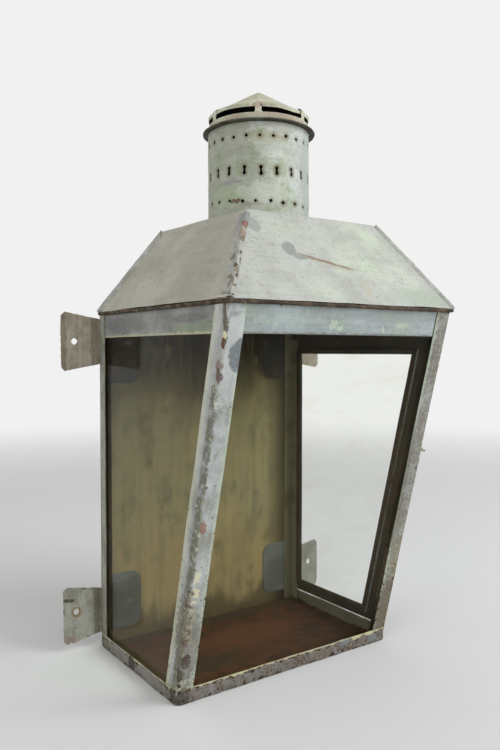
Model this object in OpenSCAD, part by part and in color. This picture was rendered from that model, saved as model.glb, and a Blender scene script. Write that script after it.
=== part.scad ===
// Wall lantern for a candle: a sheet-metal half lantern with a flat back, a front that leans in
// towards the floor, a hipped roof, a pierced chimney and a glazed door in its right side.
// Millimetres, +Z up. The origin is on the resting plane, at the middle of the roof's outline.
// The wall is on the +Y side.

/* [Body] */
// Width over the outer faces of the corner posts
body_w = 263; // [238:1:300]
// Depth of the body under the roof
top_d = 252; // [236:1:280]
// Depth of the body at the floor
base_d = 162; // [148:1:180]
// Height of the body from the floor to the roof
body_h = 358; // [330:1:420]
// Thickness of the sheet metal
sheet = 1; // [0.8:0.1:1.2]
// Width of the front posts on the slanted front
front_flange = 17.5; // [14:0.5:22]
// Width of the front posts on the two sides
side_flange = 20; // [16:0.5:22]
// Width of the rear posts
rear_flange = 12.5; // [11:0.5:13]
// Height of the rails under the roof
rail_h = 24; // [18:1:30]

/* [Tray] */
// Height of the lip around the floor tray
lip_h = 14; // [10:0.5:16]
// Play between the posts and the tray's lip
tray_play = 0.2; // [0.1:0.05:0.3]

/* [Glazing] */
// Thickness of the panes
glass_t = 2; // [1.8:0.1:2.4]
// Play between a pane and the metal around it
glass_play = 0.2; // [0.1:0.05:0.3]
// How far the top of a pane stays below the roof
glass_gap = 4; // [3:0.5:8]
// Width of the strips that hold the panes from inside
bead_w = 8; // [6:0.5:10]

/* [Roof] */
// Overhang of the eave past the sides
over_side = 2.5; // [1.5:0.5:4]
// Overhang of the eave past the front
over_front = 4; // [2:0.5:8]
// Height of the folded eave
eave_h = 3.6; // [3:0.1:5]
// Width of the folded eave
eave_w = 10; // [8:0.5:14]
// Rise of the roof from the eave to its flat top
roof_rise = 84; // [70:1:100]
// Width of the flat top
top_w = 159; // [140:1:180]
// Distance from the back of the body to the rear edge of the flat top
top_rear = 45; // [34:1:49]
// Distance from the back of the body to the front edge of the flat top
top_front = 202; // [184:1:214]
// Width of a hip seam on the side panel
hip_side_w = 8; // [5:0.5:12]
// Width of a hip seam on the front or back panel
hip_face_w = 3; // [2:0.5:6]
// Thickness of the hip seams
hip_t = 0.8; // [0.6:0.1:1]

/* [Chimney] */
// Outer radius of the chimney
chimney_r = 52.5; // [46:0.5:56]
// Wall of the chimney
chimney_wall = 0.9; // [0.8:0.1:1.2]
// Height of the chimney above the flat top
chimney_h = 100; // [94:1:120]
// Distance from the back of the body to the chimney's axis
chimney_rear = 109; // [105:1:120]
// Height of the flared collar at the chimney's foot
collar_h = 6; // [3:0.5:8]
// Width of the flared collar at the chimney's foot
collar_w = 6; // [4:0.5:8]
// Width of the ring around the chimney's head
ring_w = 5.8; // [3:0.2:8]
// Thickness of the ring around the chimney's head
ring_t = 2.4; // [1.5:0.1:3]
// Radius of the round holes in the chimney
hole_r = 1.7; // [1.3:0.1:2]
// Height of the slots in the chimney
slot_h = 10; // [7:0.5:12]
// Width of the slots in the chimney
slot_w = 3; // [2:0.1:3.6]
// Distance from the chimney's head to the upper row of holes
upper_row_drop = 15.5; // [14:0.5:24]
// Distance from the chimney's head to the middle of the slots
slot_row_drop = 49; // [46:0.5:60]
// Distance from the chimney's head to the lower row of holes
lower_row_drop = 79; // [78:0.5:86]
// Number of round holes in the upper row
upper_holes = 24; // [18:1:26]
// Number of slots in the middle row
middle_slots = 20; // [16:1:24]
// Number of round holes in the lower row
lower_holes = 23; // [18:1:26]

/* [Crown] */
// Height of the crown's plain band above the chimney
band_h = 7; // [4:0.5:10]
// Height of the crown's windows
window_h = 8; // [6:0.5:14]
// Width of the crown's six legs
leg_w = 6.5; // [5:0.5:9]
// Rise of the crown's six-sided cap
cap_rise = 28; // [20:1:36]
// How far the corners of the cap stand past its legs
cap_over = 1.5; // [1:0.1:3]
// Rim of the cap's underside, measured at its corners
cap_rim = 3; // [2.6:0.1:4]

/* [Wall ears] */
// Reach of an ear past the side of the body
ear_reach = 43; // [38:0.5:55]
// Height of an ear behind the body
ear_inner_h = 48; // [40:1:54]
// Height of an ear at its outer end
ear_outer_h = 62; // [54:1:66]
// Thickness of an ear
ear_t = 1.2; // [1:0.1:1.5]
// Width of an ear behind the back panel
ear_grip = 27; // [20:1:35]
// Gap between the tray's lip and the lower ears
ear_rise = 1; // [0.5:0.5:20]
// Gap between the roof's eave and the upper ears
ear_drop = 4; // [3:0.5:30]
// Radius of the screw holes in the ears
screw_r = 3.3; // [2.2:0.1:4]
// Distance from an ear's outer end to its screw hole
screw_inset = 14.5; // [9:0.5:18]
// Height of the lower ears' screw holes above the middle of the ear
low_screw_up = 3.5; // [0:0.5:8]
// Width of the patches that stiffen the back behind the ears
patch_w = 34; // [26:1:40]
// Height of the patches that stiffen the back behind the ears
patch_h = 62; // [50:1:66]
// How far the lower patches stand above their ears
patch_rise = 6; // [0:1:12]
// How far the upper patches hang below their ears
patch_drop = 14; // [8:1:24]

/* [Side door] */
// How far the door laps over the frame around it
door_lap = 2.5; // [1.5:0.5:3]
// Gap between the closed door and the frame
door_gap = 0.3; // [0.2:0.05:0.4]
// Gap between the tray's lip and the door
door_rise = 0.8; // [0.6:0.1:1.2]
// Width of the door's front stile
door_front_w = 18; // [14:0.5:22]
// Width of the door's top rail
door_top_w = 20; // [14:0.5:24]
// Width of the door's bottom rail
door_low_w = 14; // [12:0.5:18]
// Distance from the back of the body to the door's pane opening
door_rear = 20; // [20:0.5:26]
// How far the door's frame grips its pane
door_grip = 5; // [4:0.5:5]
// Distance from the back of the body to the hinge
hinge_rear = 7; // [6:0.5:7.5]
// Outer radius of the hinge barrel and knuckles
barrel_r = 2.4; // [2.1:0.1:2.6]
// Radius of the hinge wire
wire_r = 1.2; // [0.9:0.1:1.3]
// Play around the hinge wire and the catch's rivet
pin_play = 0.05; // [0.03:0.01:0.08]
// Height of a hinge knuckle
knuckle_h = 12; // [8:1:18]
// Height of the lower knuckle above the floor
knuckle_low_z = 40; // [30:1:60]
// Distance from the top of the body down to the foot of the upper knuckle
knuckle_drop = 70; // [63:1:108]
// Gap between the door's barrel and a knuckle
knuckle_gap = 0.3; // [0.2:0.05:0.5]

/* [Turn catch] */
// Height of the catch's rivet above the floor
catch_z = 212; // [120:1:260]
// Distance from the front of the body to the catch's rivet
catch_in = 6; // [5:0.5:6.5]
// Length of the catch below its rivet
catch_l = 33; // [24:1:34]
// Width of the catch
catch_w = 7; // [6:0.5:8]
// Thickness of the catch
catch_t = 0.8; // [0.6:0.1:1]
// Gap between the catch and the door under it
catch_play = 0.4; // [0.3:0.05:0.6]
// Height that the catch's stiffened front edge stands out
catch_lip = 3.2; // [2:0.2:5]
// Reach of the thumb tab at the catch's upper end
thumb_reach = 7; // [4:0.5:9]
// Lean of the resting catch from the line of the post
catch_lean = 11.5; // [0:0.5:11.5]
// Radius of the catch's rivet
rivet_r = 1.5; // [1.2:0.1:1.8]

/* [Hidden] */

$fn = 64;
small_fn = 32;
over = 1;       // how far a cutting body runs past what it cuts
sliver = 0.01;  // the same, where there is little room

// Body outline. The eave ends flush with the wall face of the ears.
half_w = body_w / 2;
over_back = ear_t;
roof_d = top_d + over_front + over_back;
back_y = roof_d / 2 - over_back;
slant = atan((top_d - base_d) / body_h);

// Lines of the slanted front, measured square to it
function front_y(z) = back_y - base_d - (top_d - base_d) * z / body_h;
function front_in(z, inset) = front_y(z) + inset / cos(slant);

// Four-sided outline in a side of the body: rear-low, front-low, front-high, rear-high
function side_quad(rear, front, low, high) = [
    [back_y - rear, low],
    [front_in(low, front), low],
    [front_in(high, front), high],
    [back_y - rear, high]
];
// Band that runs up the slanted front between two insets
function front_band(near, far, low, high) = [
    [front_in(low, near), low],
    [front_in(low, far), low],
    [front_in(high, far), high],
    [front_in(high, near), high]
];

// Layers behind the faces of the body: post, rail, pane, bead
rail_in = sheet;
pane_in = 2 * sheet + glass_play;
bead_in = pane_in + glass_t + glass_play;
rail_low = body_h - rail_h;
pane_top = body_h - glass_gap;
floor_z = sheet;

// Tray
tray_half_w = half_w + tray_play + sheet;
tray_back = back_y + tray_play + sheet;
tray_front = front_y(lip_h) - tray_play - sheet;

// Roof
eave_top = body_h + eave_h;
roof_top = eave_top + roof_rise;
eave_half_w = half_w + over_side;
eave_front = front_y(body_h) - over_front;
eave_back = back_y + over_back;
top_half_w = top_w / 2;
top_front_y = back_y - top_front;
top_rear_y = back_y - top_rear;
hip_overlap = 0.5;

// Chimney
chimney_y = back_y - chimney_rear;
chimney_inner_r = chimney_r - chimney_wall;
head_z = roof_top + chimney_h;
ring_low = head_z - ring_t;
seat_play = 0.15;   // play where a round piece sits in or on another
foot_w = 4;         // foot of the chimney, turned out under the flat top
upper_row_z = head_z - upper_row_drop;
slot_row_z = head_z - slot_row_drop;
lower_row_z = head_z - lower_row_drop;
upper_turn = -124.5;
slot_turn = -124;
lower_turn = -128.5;

// Crown
crown_r = chimney_inner_r - seat_play;
crown_wall = 0.9;
crown_sink = 8;     // part of the crown's band that hides in the chimney
crown_bead_h = 1;
window_low = head_z + band_h;
cap_z = window_low + window_h;
crown_turn = 54;
cap_r = crown_r + cap_over;
cap_tip_r = 2;
cap_skin = 0.9;
cap_inner_tip_r = 0.5;
window_reach = 1.4 * crown_r;   // how far out the windows' cutting bodies run

// Ears
ear_tip = half_w + ear_reach;
ear_root = half_w - ear_grip;
ear_clip = 4;
screw_x = ear_tip - screw_inset;
patch_gap = 0.5;    // between a patch and the rear post
patch_x = half_w - rear_flange - patch_gap;
patch_round = 12;
ear_low_z = lip_h + ear_rise + ear_inner_h / 2;
ear_high_z = body_h - ear_drop - ear_inner_h / 2;
patch_low_z = ear_low_z + patch_rise;
patch_high_z = ear_high_z - patch_drop;

// Side door: its outlines and the layers of its folded frame
door_x = half_w + door_gap;
tongue_w = 0.5;     // narrow strip of the door's sheet beside its barrel
door_out_rear = hinge_rear + barrel_r + tongue_w;
door_out_front = side_flange - door_lap;
door_low = lip_h + door_rise;
door_high = rail_low + door_lap;
view_front = door_out_front + door_front_w;
view_low = door_low + door_low_w;
view_high = door_high - door_top_w;
door_pane_x = door_x - glass_play - glass_t;
door_lip_x = door_pane_x - glass_play - sheet;
web_rear = door_rear - door_grip - glass_play - sheet;
web_front = view_front - door_grip - glass_play - sheet;
web_low = view_low - door_grip - glass_play - sheet;
web_high = view_high + door_grip + glass_play;

// Hinge
barrel_step = 0.15;   // how far the barrel sits out from the back of the door's sheet
hinge_x = door_x + barrel_r + barrel_step;
hinge_y = back_y - hinge_rear;
knuckle_high_z = body_h - knuckle_drop;
barrel_low = knuckle_low_z + knuckle_h + knuckle_gap;
barrel_high = knuckle_high_z - knuckle_gap;
wire_end = 1.5;
wire_head_h = 1.2;

// Turn catch
catch_y = front_in(catch_z, catch_in);
catch_x = door_x + sheet + catch_play;
catch_tilt = slant + catch_lean;
catch_top = 5;      // length of the catch above its rivet
rivet_head_r = 3;
rivet_head_h = 1.4;
lip_top = -rivet_head_r - 2;

metal_pale = [0.66, 0.69, 0.66];
metal_grey = [0.52, 0.52, 0.49];
metal_dark = [0.27, 0.24, 0.18];
metal_soot = [0.34, 0.31, 0.22];
metal_rust = [0.30, 0.22, 0.16];
pane_tint = [0.80, 0.86, 0.82, 0.35];

// ---- helpers ----

// A flat piece parallel to the sides: an outline of [y, z] points, from x_low for thickness
module side_prism(x_low, thickness, outline)
    translate([x_low, 0, 0]) rotate([90, 0, 90]) linear_extrude(thickness) polygon(outline);

// The same, mirrored to the left or right side, measured inward from the outer face
module side_sheet(side, inset, thickness, outline)
    side_prism(side > 0 ? half_w - inset - thickness : -half_w + inset, thickness, outline);

// A flat piece parallel to the wall: from y_low for thickness, drawn with [x, z] children
module wall_prism(y_low, thickness)
    translate([0, y_low + thickness, 0]) rotate([90, 0, 0]) linear_extrude(thickness) children();

module box(low, high) translate(low) cube(high - low);

// ---- body ----

module base_tray() color(metal_rust) {
    difference() {
        box([-tray_half_w, tray_front, 0], [tray_half_w, tray_back, lip_h]);
        box([-tray_half_w + sheet, tray_front + sheet, floor_z],
            [tray_half_w - sheet, tray_back - sheet, lip_h + over]);
    }
}

module back_panel() color(metal_soot)
    box([-half_w, back_y - sheet, floor_z], [half_w, back_y, body_h]);

module front_post(side) color(metal_pale) {
    flange_low = side > 0 ? half_w - front_flange : -half_w;
    side_prism(flange_low, front_flange, front_band(0, sheet, floor_z, body_h));
    side_sheet(side, 0, sheet, front_band(0, side_flange, floor_z, body_h));
}

module rear_post(side) color(metal_grey) {
    side_sheet(side, 0, sheet, [
        [back_y - rear_flange, floor_z], [back_y - sheet, floor_z],
        [back_y - sheet, body_h], [back_y - rear_flange, body_h]
    ]);
    inner = side > 0 ? half_w - rear_flange : -half_w;
    box([inner, back_y - 2 * sheet, floor_z], [inner + rear_flange, back_y - sheet, body_h]);
}

module front_left_post() front_post(-1);
module front_right_post() front_post(1);
module rear_left_post() rear_post(-1);
module rear_right_post() rear_post(1);

module front_top_rail() color(metal_pale)
    side_prism(-half_w + sheet, body_w - 2 * sheet, front_band(rail_in, rail_in + sheet, rail_low, body_h));

module side_top_rail(side) color(metal_grey)
    side_sheet(side, rail_in, sheet, side_quad(2 * sheet, rail_in + sheet, rail_low, body_h));

module left_top_rail() side_top_rail(-1);
module right_top_rail() side_top_rail(1);

// ---- glazing ----

module front_glass() color(pane_tint)
    side_prism(-half_w + pane_in, body_w - 2 * pane_in,
        front_band(pane_in, pane_in + glass_t, floor_z, pane_top));

module left_glass() color(pane_tint)
    side_sheet(-1, pane_in, glass_t,
        side_quad(2 * sheet + glass_play, bead_in, floor_z, pane_top));

// Angle strip that holds the front pane and the left pane at their common corner
module front_left_glass_bead() color(metal_dark) {
    side_prism(-half_w + bead_in, bead_w, front_band(bead_in + glass_play, bead_in + glass_play + sheet,
        floor_z, body_h));
    side_sheet(-1, bead_in, sheet, front_band(bead_in + glass_play, bead_in + glass_play + bead_w,
        floor_z, body_h));
}

// Angle strip that holds the right edge of the front pane; its other leg is soldered to the post
module front_right_glass_bead() color(metal_dark) {
    side_prism(half_w - sheet - bead_w, bead_w,
        front_band(bead_in, bead_in + sheet, floor_z, rail_low));
    side_sheet(1, sheet, sheet, front_band(bead_in, bead_in + bead_w, floor_z, rail_low));
}

// Angle strip that holds the rear edge of the left pane, soldered to the rear post
module rear_left_glass_bead() color(metal_dark) {
    box([-half_w + bead_in, back_y - 2 * sheet - bead_w, floor_z],
        [-half_w + bead_in + sheet, back_y - 2 * sheet, body_h]);
    box([-half_w + bead_in, back_y - 3 * sheet, floor_z],
        [-half_w + bead_in + bead_w, back_y - 2 * sheet, body_h]);
}

// ---- roof ----

module eave_frame() color(metal_dark)
    difference() {
        box([-eave_half_w, eave_front, body_h], [eave_half_w, eave_back, eave_top]);
        box([-eave_half_w + eave_w, eave_front + eave_w, body_h - over],
            [eave_half_w - eave_w, eave_back - eave_w, eave_top + over]);
    }

// Corners of the eave and of the flat top, in plan
eave_fl = [-eave_half_w, eave_front];
eave_fr = [eave_half_w, eave_front];
eave_rl = [-eave_half_w, eave_back];
eave_rr = [eave_half_w, eave_back];
top_fl = [-top_half_w, top_front_y];
top_fr = [top_half_w, top_front_y];
top_rl = [-top_half_w, top_rear_y];
top_rr = [top_half_w, top_rear_y];

// Slab in the plane of one roof slope. It rises from the eave towards the direction given,
// and lies between two heights measured square to the slope.
module slope_slab(eave_point, direction, run, low, high) {
    slab = 2 * (body_w + top_d);
    translate([eave_point[0], eave_point[1], eave_top])
        rotate([0, 0, direction]) rotate([0, -atan(roof_rise / run), 0])
            translate([-slab / 2, -slab / 2, low]) cube([slab, slab, high - low]);
}

module roof_slope(plan, eave_point, direction, run, low, high)
    intersection() {
        translate([0, 0, eave_top]) linear_extrude(roof_rise + 2 * max(high, 0)) polygon(plan);
        box([-eave_half_w, eave_front, eave_top], [eave_half_w, eave_back, roof_top + 2 * max(high, 0)]);
        slope_slab(eave_point, direction, run, low, high);
    }

side_run = eave_half_w - top_half_w;
front_run = top_front_y - eave_front;
back_run = eave_back - top_rear_y;

module left_slope(plan, low, high) roof_slope(plan, eave_fl, 0, side_run, low, high);
module right_slope(plan, low, high) roof_slope(plan, eave_fr, 180, side_run, low, high);
module front_slope(plan, low, high) roof_slope(plan, eave_fl, 90, front_run, low, high);
module back_slope(plan, low, high) roof_slope(plan, eave_rl, -90, back_run, low, high);

module roof_front_panel() color(metal_pale)
    front_slope([eave_fl, eave_fr, top_fr, top_fl], -sheet, 0);
module roof_back_panel() color(metal_grey)
    back_slope([eave_rr, eave_rl, top_rl, top_rr], -sheet, 0);
module roof_left_panel() color(metal_grey)
    left_slope([eave_rl, eave_fl, top_fl, top_rl], -sheet, 0);
module roof_right_panel() color(metal_grey)
    right_slope([eave_fr, eave_rr, top_rr, top_fr], -sheet, 0);

// Strip in plan beside a hip: wide to one side of the line, a little over it on the other
function hip_strip(low_end, high_end, wide) =
    let (along = (high_end - low_end) / norm(high_end - low_end),
         across = [-along[1], along[0]],
         over_line = wide > 0 ? -hip_overlap : hip_overlap)
    [low_end + across * over_line, high_end + across * over_line,
     high_end + across * wide, low_end + across * wide];

module front_left_hip_seam() color(metal_pale) {
    left_slope(hip_strip(eave_fl, top_fl, hip_side_w), 0, hip_t);
    front_slope(hip_strip(eave_fl, top_fl, -hip_face_w), 0, hip_t);
}
module front_right_hip_seam() color(metal_pale) {
    right_slope(hip_strip(eave_fr, top_fr, -hip_side_w), 0, hip_t);
    front_slope(hip_strip(eave_fr, top_fr, hip_face_w), 0, hip_t);
}
module rear_left_hip_seam() color(metal_grey) {
    left_slope(hip_strip(eave_rl, top_rl, -hip_side_w), 0, hip_t);
    back_slope(hip_strip(eave_rl, top_rl, hip_face_w), 0, hip_t);
}
module rear_right_hip_seam() color(metal_grey) {
    right_slope(hip_strip(eave_rr, top_rr, hip_side_w), 0, hip_t);
    back_slope(hip_strip(eave_rr, top_rr, -hip_face_w), 0, hip_t);
}

module roof_top_plate() color(metal_pale)
    difference() {
        box([-top_half_w, top_front_y, roof_top - sheet], [top_half_w, top_rear_y, roof_top]);
        translate([0, chimney_y, roof_top - sheet - over])
            cylinder(h = sheet + 2 * over, r = chimney_r + seat_play);
    }

// ---- chimney ----

module chimney_foot_collar() color(metal_grey)
    translate([0, chimney_y, roof_top]) rotate_extrude() polygon([
        [chimney_r + seat_play, 0], [chimney_r + collar_w, 0],
        [chimney_r + collar_w, chimney_wall], [chimney_r + seat_play + chimney_wall, collar_h],
        [chimney_r + seat_play, collar_h]
    ]);

// Cutting bodies set around the chimney's wall
module around(count, turn, z)
    for (i = [0 : count - 1])
        translate([0, chimney_y, z]) rotate([0, 0, turn + i * 360 / count])
            translate([chimney_inner_r - over, 0, 0]) rotate([0, 90, 0]) children();

module round_punch() cylinder(h = chimney_wall + 2 * over, r = hole_r, $fn = small_fn);

module slot_punch() {
    straight = slot_h - slot_w;
    translate([-straight / 2, -slot_w / 2, 0]) cube([straight, slot_w, chimney_wall + 2 * over]);
    for (end = [-1, 1])
        translate([end * straight / 2, 0, 0])
            cylinder(h = chimney_wall + 2 * over, r = slot_w / 2, $fn = small_fn);
}

// Pierced tube. Its foot is turned out under the flat top.
module chimney_tube() color(metal_pale)
    difference() {
        translate([0, chimney_y, 0]) rotate_extrude() polygon([
            [chimney_inner_r, roof_top - sheet - chimney_wall],
            [chimney_r + foot_w, roof_top - sheet - chimney_wall],
            [chimney_r + foot_w, roof_top - sheet],
            [chimney_r, roof_top - sheet],
            [chimney_r, head_z],
            [chimney_inner_r, head_z]
        ]);
        around(upper_holes, upper_turn, upper_row_z) round_punch();
        around(middle_slots, slot_turn, slot_row_z) slot_punch();
        around(lower_holes, lower_turn, lower_row_z) round_punch();
    }

module chimney_head_ring() color(metal_dark)
    translate([0, chimney_y, ring_low]) rotate_extrude() polygon([
        [chimney_r + seat_play, 0], [chimney_r + ring_w, 0],
        [chimney_r + ring_w, ring_t], [chimney_r + seat_play, ring_t]
    ]);

// Band that sits in the chimney's mouth on a bead, with six legs cut in its upper edge
module crown_collar() color(metal_pale)
    difference() {
        translate([0, chimney_y, 0]) rotate_extrude() polygon([
            [crown_r - crown_wall, head_z - crown_sink],
            [crown_r, head_z - crown_sink],
            [crown_r, head_z],
            [chimney_r, head_z],
            [chimney_r, head_z + crown_bead_h],
            [crown_r, head_z + crown_bead_h],
            [crown_r, cap_z],
            [crown_r - crown_wall, cap_z]
        ]);
        for (i = [0 : 5]) {
            leg_half = asin(leg_w / 2 / crown_r);
            from = crown_turn + 60 * i + leg_half;
            to = crown_turn + 60 * (i + 1) - leg_half;
            translate([0, chimney_y, window_low]) linear_extrude(window_h + over) polygon([
                [0, 0],
                window_reach * [cos(from), sin(from)],
                window_reach * [cos((from + to) / 2), sin((from + to) / 2)],
                window_reach * [cos(to), sin(to)]
            ]);
        }
    }

// Six-sided cap, hollow underneath, with its corners over the legs
module crown_cap() color(metal_pale)
    translate([0, chimney_y, cap_z]) rotate([0, 0, crown_turn])
        difference() {
            cylinder(h = cap_rise, r1 = cap_r, r2 = cap_tip_r, $fn = 6);
            translate([0, 0, -sliver])
                cylinder(h = cap_rise - cap_skin, r1 = cap_r - cap_rim, r2 = cap_inner_tip_r, $fn = 6);
        }

// ---- wall ears ----

module ear(side, z, screw_up = 0) color(metal_grey)
    wall_prism(back_y, ear_t) scale([side, 1]) translate([0, z]) difference() {
        polygon([
            [ear_root, -ear_inner_h / 2], [half_w, -ear_inner_h / 2],
            [ear_tip - ear_clip, -ear_outer_h / 2], [ear_tip, -ear_outer_h / 2 + ear_clip],
            [ear_tip, ear_outer_h / 2 - ear_clip], [ear_tip - ear_clip, ear_outer_h / 2],
            [half_w, ear_inner_h / 2], [ear_root, ear_inner_h / 2]
        ]);
        translate([screw_x, screw_up]) circle(r = screw_r);
    }

module upper_left_ear() ear(-1, ear_high_z);
module lower_left_ear() ear(-1, ear_low_z, low_screw_up);
module upper_right_ear() ear(1, ear_high_z);
module lower_right_ear() ear(1, ear_low_z, low_screw_up);

// Plate soldered inside the back, square towards the post and rounded towards the middle
module patch(side, z) color(metal_grey)
    wall_prism(back_y - 2 * sheet, sheet) scale([side, 1]) translate([patch_x - patch_w, z - patch_h / 2]) {
        translate([patch_round, 0]) square([patch_w - patch_round, patch_h]);
        translate([0, patch_round]) square([patch_w, patch_h - 2 * patch_round]);
        for (end = [patch_round, patch_h - patch_round])
            translate([patch_round, end]) circle(r = patch_round);
    }

module upper_left_patch() patch(-1, patch_high_z);
module lower_left_patch() patch(-1, patch_low_z);
module upper_right_patch() patch(1, patch_high_z);
module lower_right_patch() patch(1, patch_low_z);

// ---- side door ----

// Section of the door's frame: the outer plate, the web beside the pane and the lip behind it.
// Its places are measured across the member, from the view opening outward.
function door_section(view, web_near, web_far, outer) = [
    [door_lip_x, view], [door_lip_x + sheet, view],
    [door_lip_x + sheet, web_near], [door_x, web_near],
    [door_x, view], [door_x + sheet, view],
    [door_x + sheet, outer], [door_x, outer],
    [door_x, web_far], [door_lip_x, web_far]
];

// Rails run between the stiles
module door_rail(section, low, high) color(metal_grey)
    intersection() {
        wall_prism(front_y(high), body_w) polygon(section);
        side_prism(door_lip_x, door_x + sheet - door_lip_x, side_quad(door_rear, view_front, low, high));
    }

module door_top_rail()
    door_rail(door_section(view_high, web_high, web_high + sheet, door_high), view_high, door_high);

module door_bottom_rail()
    door_rail(door_section(view_low, web_low + sheet, web_low, door_low), door_low, view_low);

// Stiles run the full height of the door, their webs only beside the pane
module door_stile(plate, web, lip) {
    side_prism(door_x, sheet, plate);
    side_prism(door_lip_x, door_x - door_lip_x, web);
    side_prism(door_lip_x, sheet, lip);
}

module door_front_stile() color(metal_grey)
    door_stile(
        front_band(door_out_front, view_front, door_low, door_high),
        front_band(web_front, web_front + sheet, web_low, web_high + sheet),
        front_band(web_front, view_front, web_low, web_high + sheet)
    );

// Outline of a band that runs up the body between two distances from its back
function rear_band(near, far, low, high) =
    [[back_y - near, low], [back_y - far, low], [back_y - far, high], [back_y - near, high]];

// The rear stile's plate has a tongue, rolled into the barrel that turns on the hinge wire
module door_rear_stile() color(metal_grey)
    difference() {
        union() {
            door_stile(
                [
                    [back_y - door_rear, door_low], [back_y - door_rear, door_high],
                    [back_y - door_out_rear, door_high], [back_y - door_out_rear, barrel_high],
                    [hinge_y, barrel_high], [hinge_y, barrel_low],
                    [back_y - door_out_rear, barrel_low], [back_y - door_out_rear, door_low]
                ],
                rear_band(web_rear, web_rear + sheet, web_low, web_high + sheet),
                rear_band(web_rear, door_rear, web_low, web_high + sheet)
            );
            translate([hinge_x, hinge_y, barrel_low]) cylinder(h = barrel_high - barrel_low, r = barrel_r);
        }
        translate([hinge_x, hinge_y, barrel_low - over])
            cylinder(h = barrel_high - barrel_low + 2 * over, r = wire_r + pin_play);
    }

module door_glass() color(pane_tint)
    side_prism(door_pane_x, glass_t,
        side_quad(door_rear - door_grip, view_front - door_grip, view_low - door_grip, view_high + door_grip));

module hinge_knuckle(z) color(metal_dark)
    difference() {
        union() {
            translate([hinge_x, hinge_y, z]) cylinder(h = knuckle_h, r = barrel_r);
            box([half_w, hinge_y, z], [half_w + sheet, back_y, z + knuckle_h]);
        }
        translate([hinge_x, hinge_y, z - over]) cylinder(h = knuckle_h + 2 * over, r = wire_r + pin_play);
    }

module upper_hinge_knuckle() hinge_knuckle(knuckle_high_z);
module lower_hinge_knuckle() hinge_knuckle(knuckle_low_z);

// Wire through both knuckles and the barrel; its head rests on the upper knuckle
module hinge_wire() color(metal_dark) {
    low = knuckle_low_z - wire_end;
    high = knuckle_high_z + knuckle_h;
    translate([hinge_x, hinge_y, low]) cylinder(h = high - low + wire_head_h, r = wire_r);
    translate([hinge_x, hinge_y, high]) cylinder(h = wire_head_h, r = barrel_r);
}

// ---- turn catch ----

// Lies along X from the post through the catch, with a head outside it
module catch_rivet() color(metal_rust)
    translate([half_w, catch_y, catch_z]) rotate([0, 90, 0]) {
        cylinder(h = catch_x - half_w - pin_play, r = rivet_head_r);
        cylinder(h = catch_x - half_w + catch_t + pin_play + rivet_head_h, r = rivet_r);
        translate([0, 0, catch_x - half_w + catch_t + pin_play]) cylinder(h = rivet_head_h, r = rivet_head_r);
    }

// Strip with a rivet hole, a lip along its front edge and a thumb tab at its upper end
module turn_catch() color(metal_pale)
    translate([catch_x, catch_y, catch_z]) rotate([catch_tilt, 0, 0])
        difference() {
            union() {
                box([0, -catch_w / 2, catch_w / 2 - catch_l], [catch_t, catch_w / 2, catch_top]);
                translate([0, 0, catch_w / 2 - catch_l]) rotate([0, 90, 0])
                    cylinder(h = catch_t, r = catch_w / 2);
                box([0, -catch_w / 2, catch_w / 2 - catch_l],
                    [catch_t + catch_lip, -catch_w / 2 + catch_t, lip_top]);
                box([0, -catch_w / 2, catch_top - catch_t],
                    [catch_t + thumb_reach, catch_w / 2, catch_top]);
            }
            rotate([0, 90, 0]) translate([0, 0, -over])
                cylinder(h = catch_t + 2 * over, r = rivet_r + pin_play);
        }

base_tray();
back_panel();
front_left_post();
front_right_post();
rear_left_post();
rear_right_post();
front_top_rail();
left_top_rail();
right_top_rail();
front_glass();
left_glass();
front_left_glass_bead();
front_right_glass_bead();
rear_left_glass_bead();
eave_frame();
roof_front_panel();
roof_back_panel();
roof_left_panel();
roof_right_panel();
front_left_hip_seam();
front_right_hip_seam();
rear_left_hip_seam();
rear_right_hip_seam();
roof_top_plate();
chimney_foot_collar();
chimney_tube();
chimney_head_ring();
crown_collar();
crown_cap();
upper_left_ear();
lower_left_ear();
upper_right_ear();
lower_right_ear();
upper_left_patch();
lower_left_patch();
upper_right_patch();
lower_right_patch();
upper_hinge_knuckle();
lower_hinge_knuckle();
hinge_wire();
catch_rivet();
door_front_stile();
door_rear_stile();
door_top_rail();
door_bottom_rail();
door_glass();
turn_catch();
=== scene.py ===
import math
import random

import bmesh
import bpy
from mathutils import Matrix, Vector, geometry, kdtree, noise


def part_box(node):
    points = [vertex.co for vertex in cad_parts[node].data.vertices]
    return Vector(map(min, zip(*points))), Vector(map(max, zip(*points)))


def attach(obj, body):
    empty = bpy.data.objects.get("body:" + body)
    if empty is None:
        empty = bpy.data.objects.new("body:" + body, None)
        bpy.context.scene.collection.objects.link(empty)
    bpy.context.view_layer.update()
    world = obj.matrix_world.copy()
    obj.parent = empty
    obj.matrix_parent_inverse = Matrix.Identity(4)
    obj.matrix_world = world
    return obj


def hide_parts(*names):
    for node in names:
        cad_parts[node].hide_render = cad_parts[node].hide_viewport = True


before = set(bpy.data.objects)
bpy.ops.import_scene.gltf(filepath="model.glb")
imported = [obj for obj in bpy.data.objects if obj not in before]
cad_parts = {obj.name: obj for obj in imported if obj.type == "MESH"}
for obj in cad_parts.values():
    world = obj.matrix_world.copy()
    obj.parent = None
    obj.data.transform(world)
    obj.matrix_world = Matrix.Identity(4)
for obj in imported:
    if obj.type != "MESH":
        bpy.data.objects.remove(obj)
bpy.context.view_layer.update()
print("frame loaded")

# Shape values are in millimetres, in the frame's own axes. Meshes are scaled to metres when they are made.
mm = 0.001
noise.seed_set(5)   # without a seed the dents would differ from run to run


# ---- places taken from the frame ----

def boxMm(node):
    low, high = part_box(node)
    return low / mm, high / mm


def footEdge(node):   # frontmost point of a node's foot
    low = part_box(node)[0]
    return min(v.co.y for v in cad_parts[node].data.vertices if v.co.z < low.z + 0.1 * mm) / mm


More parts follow.
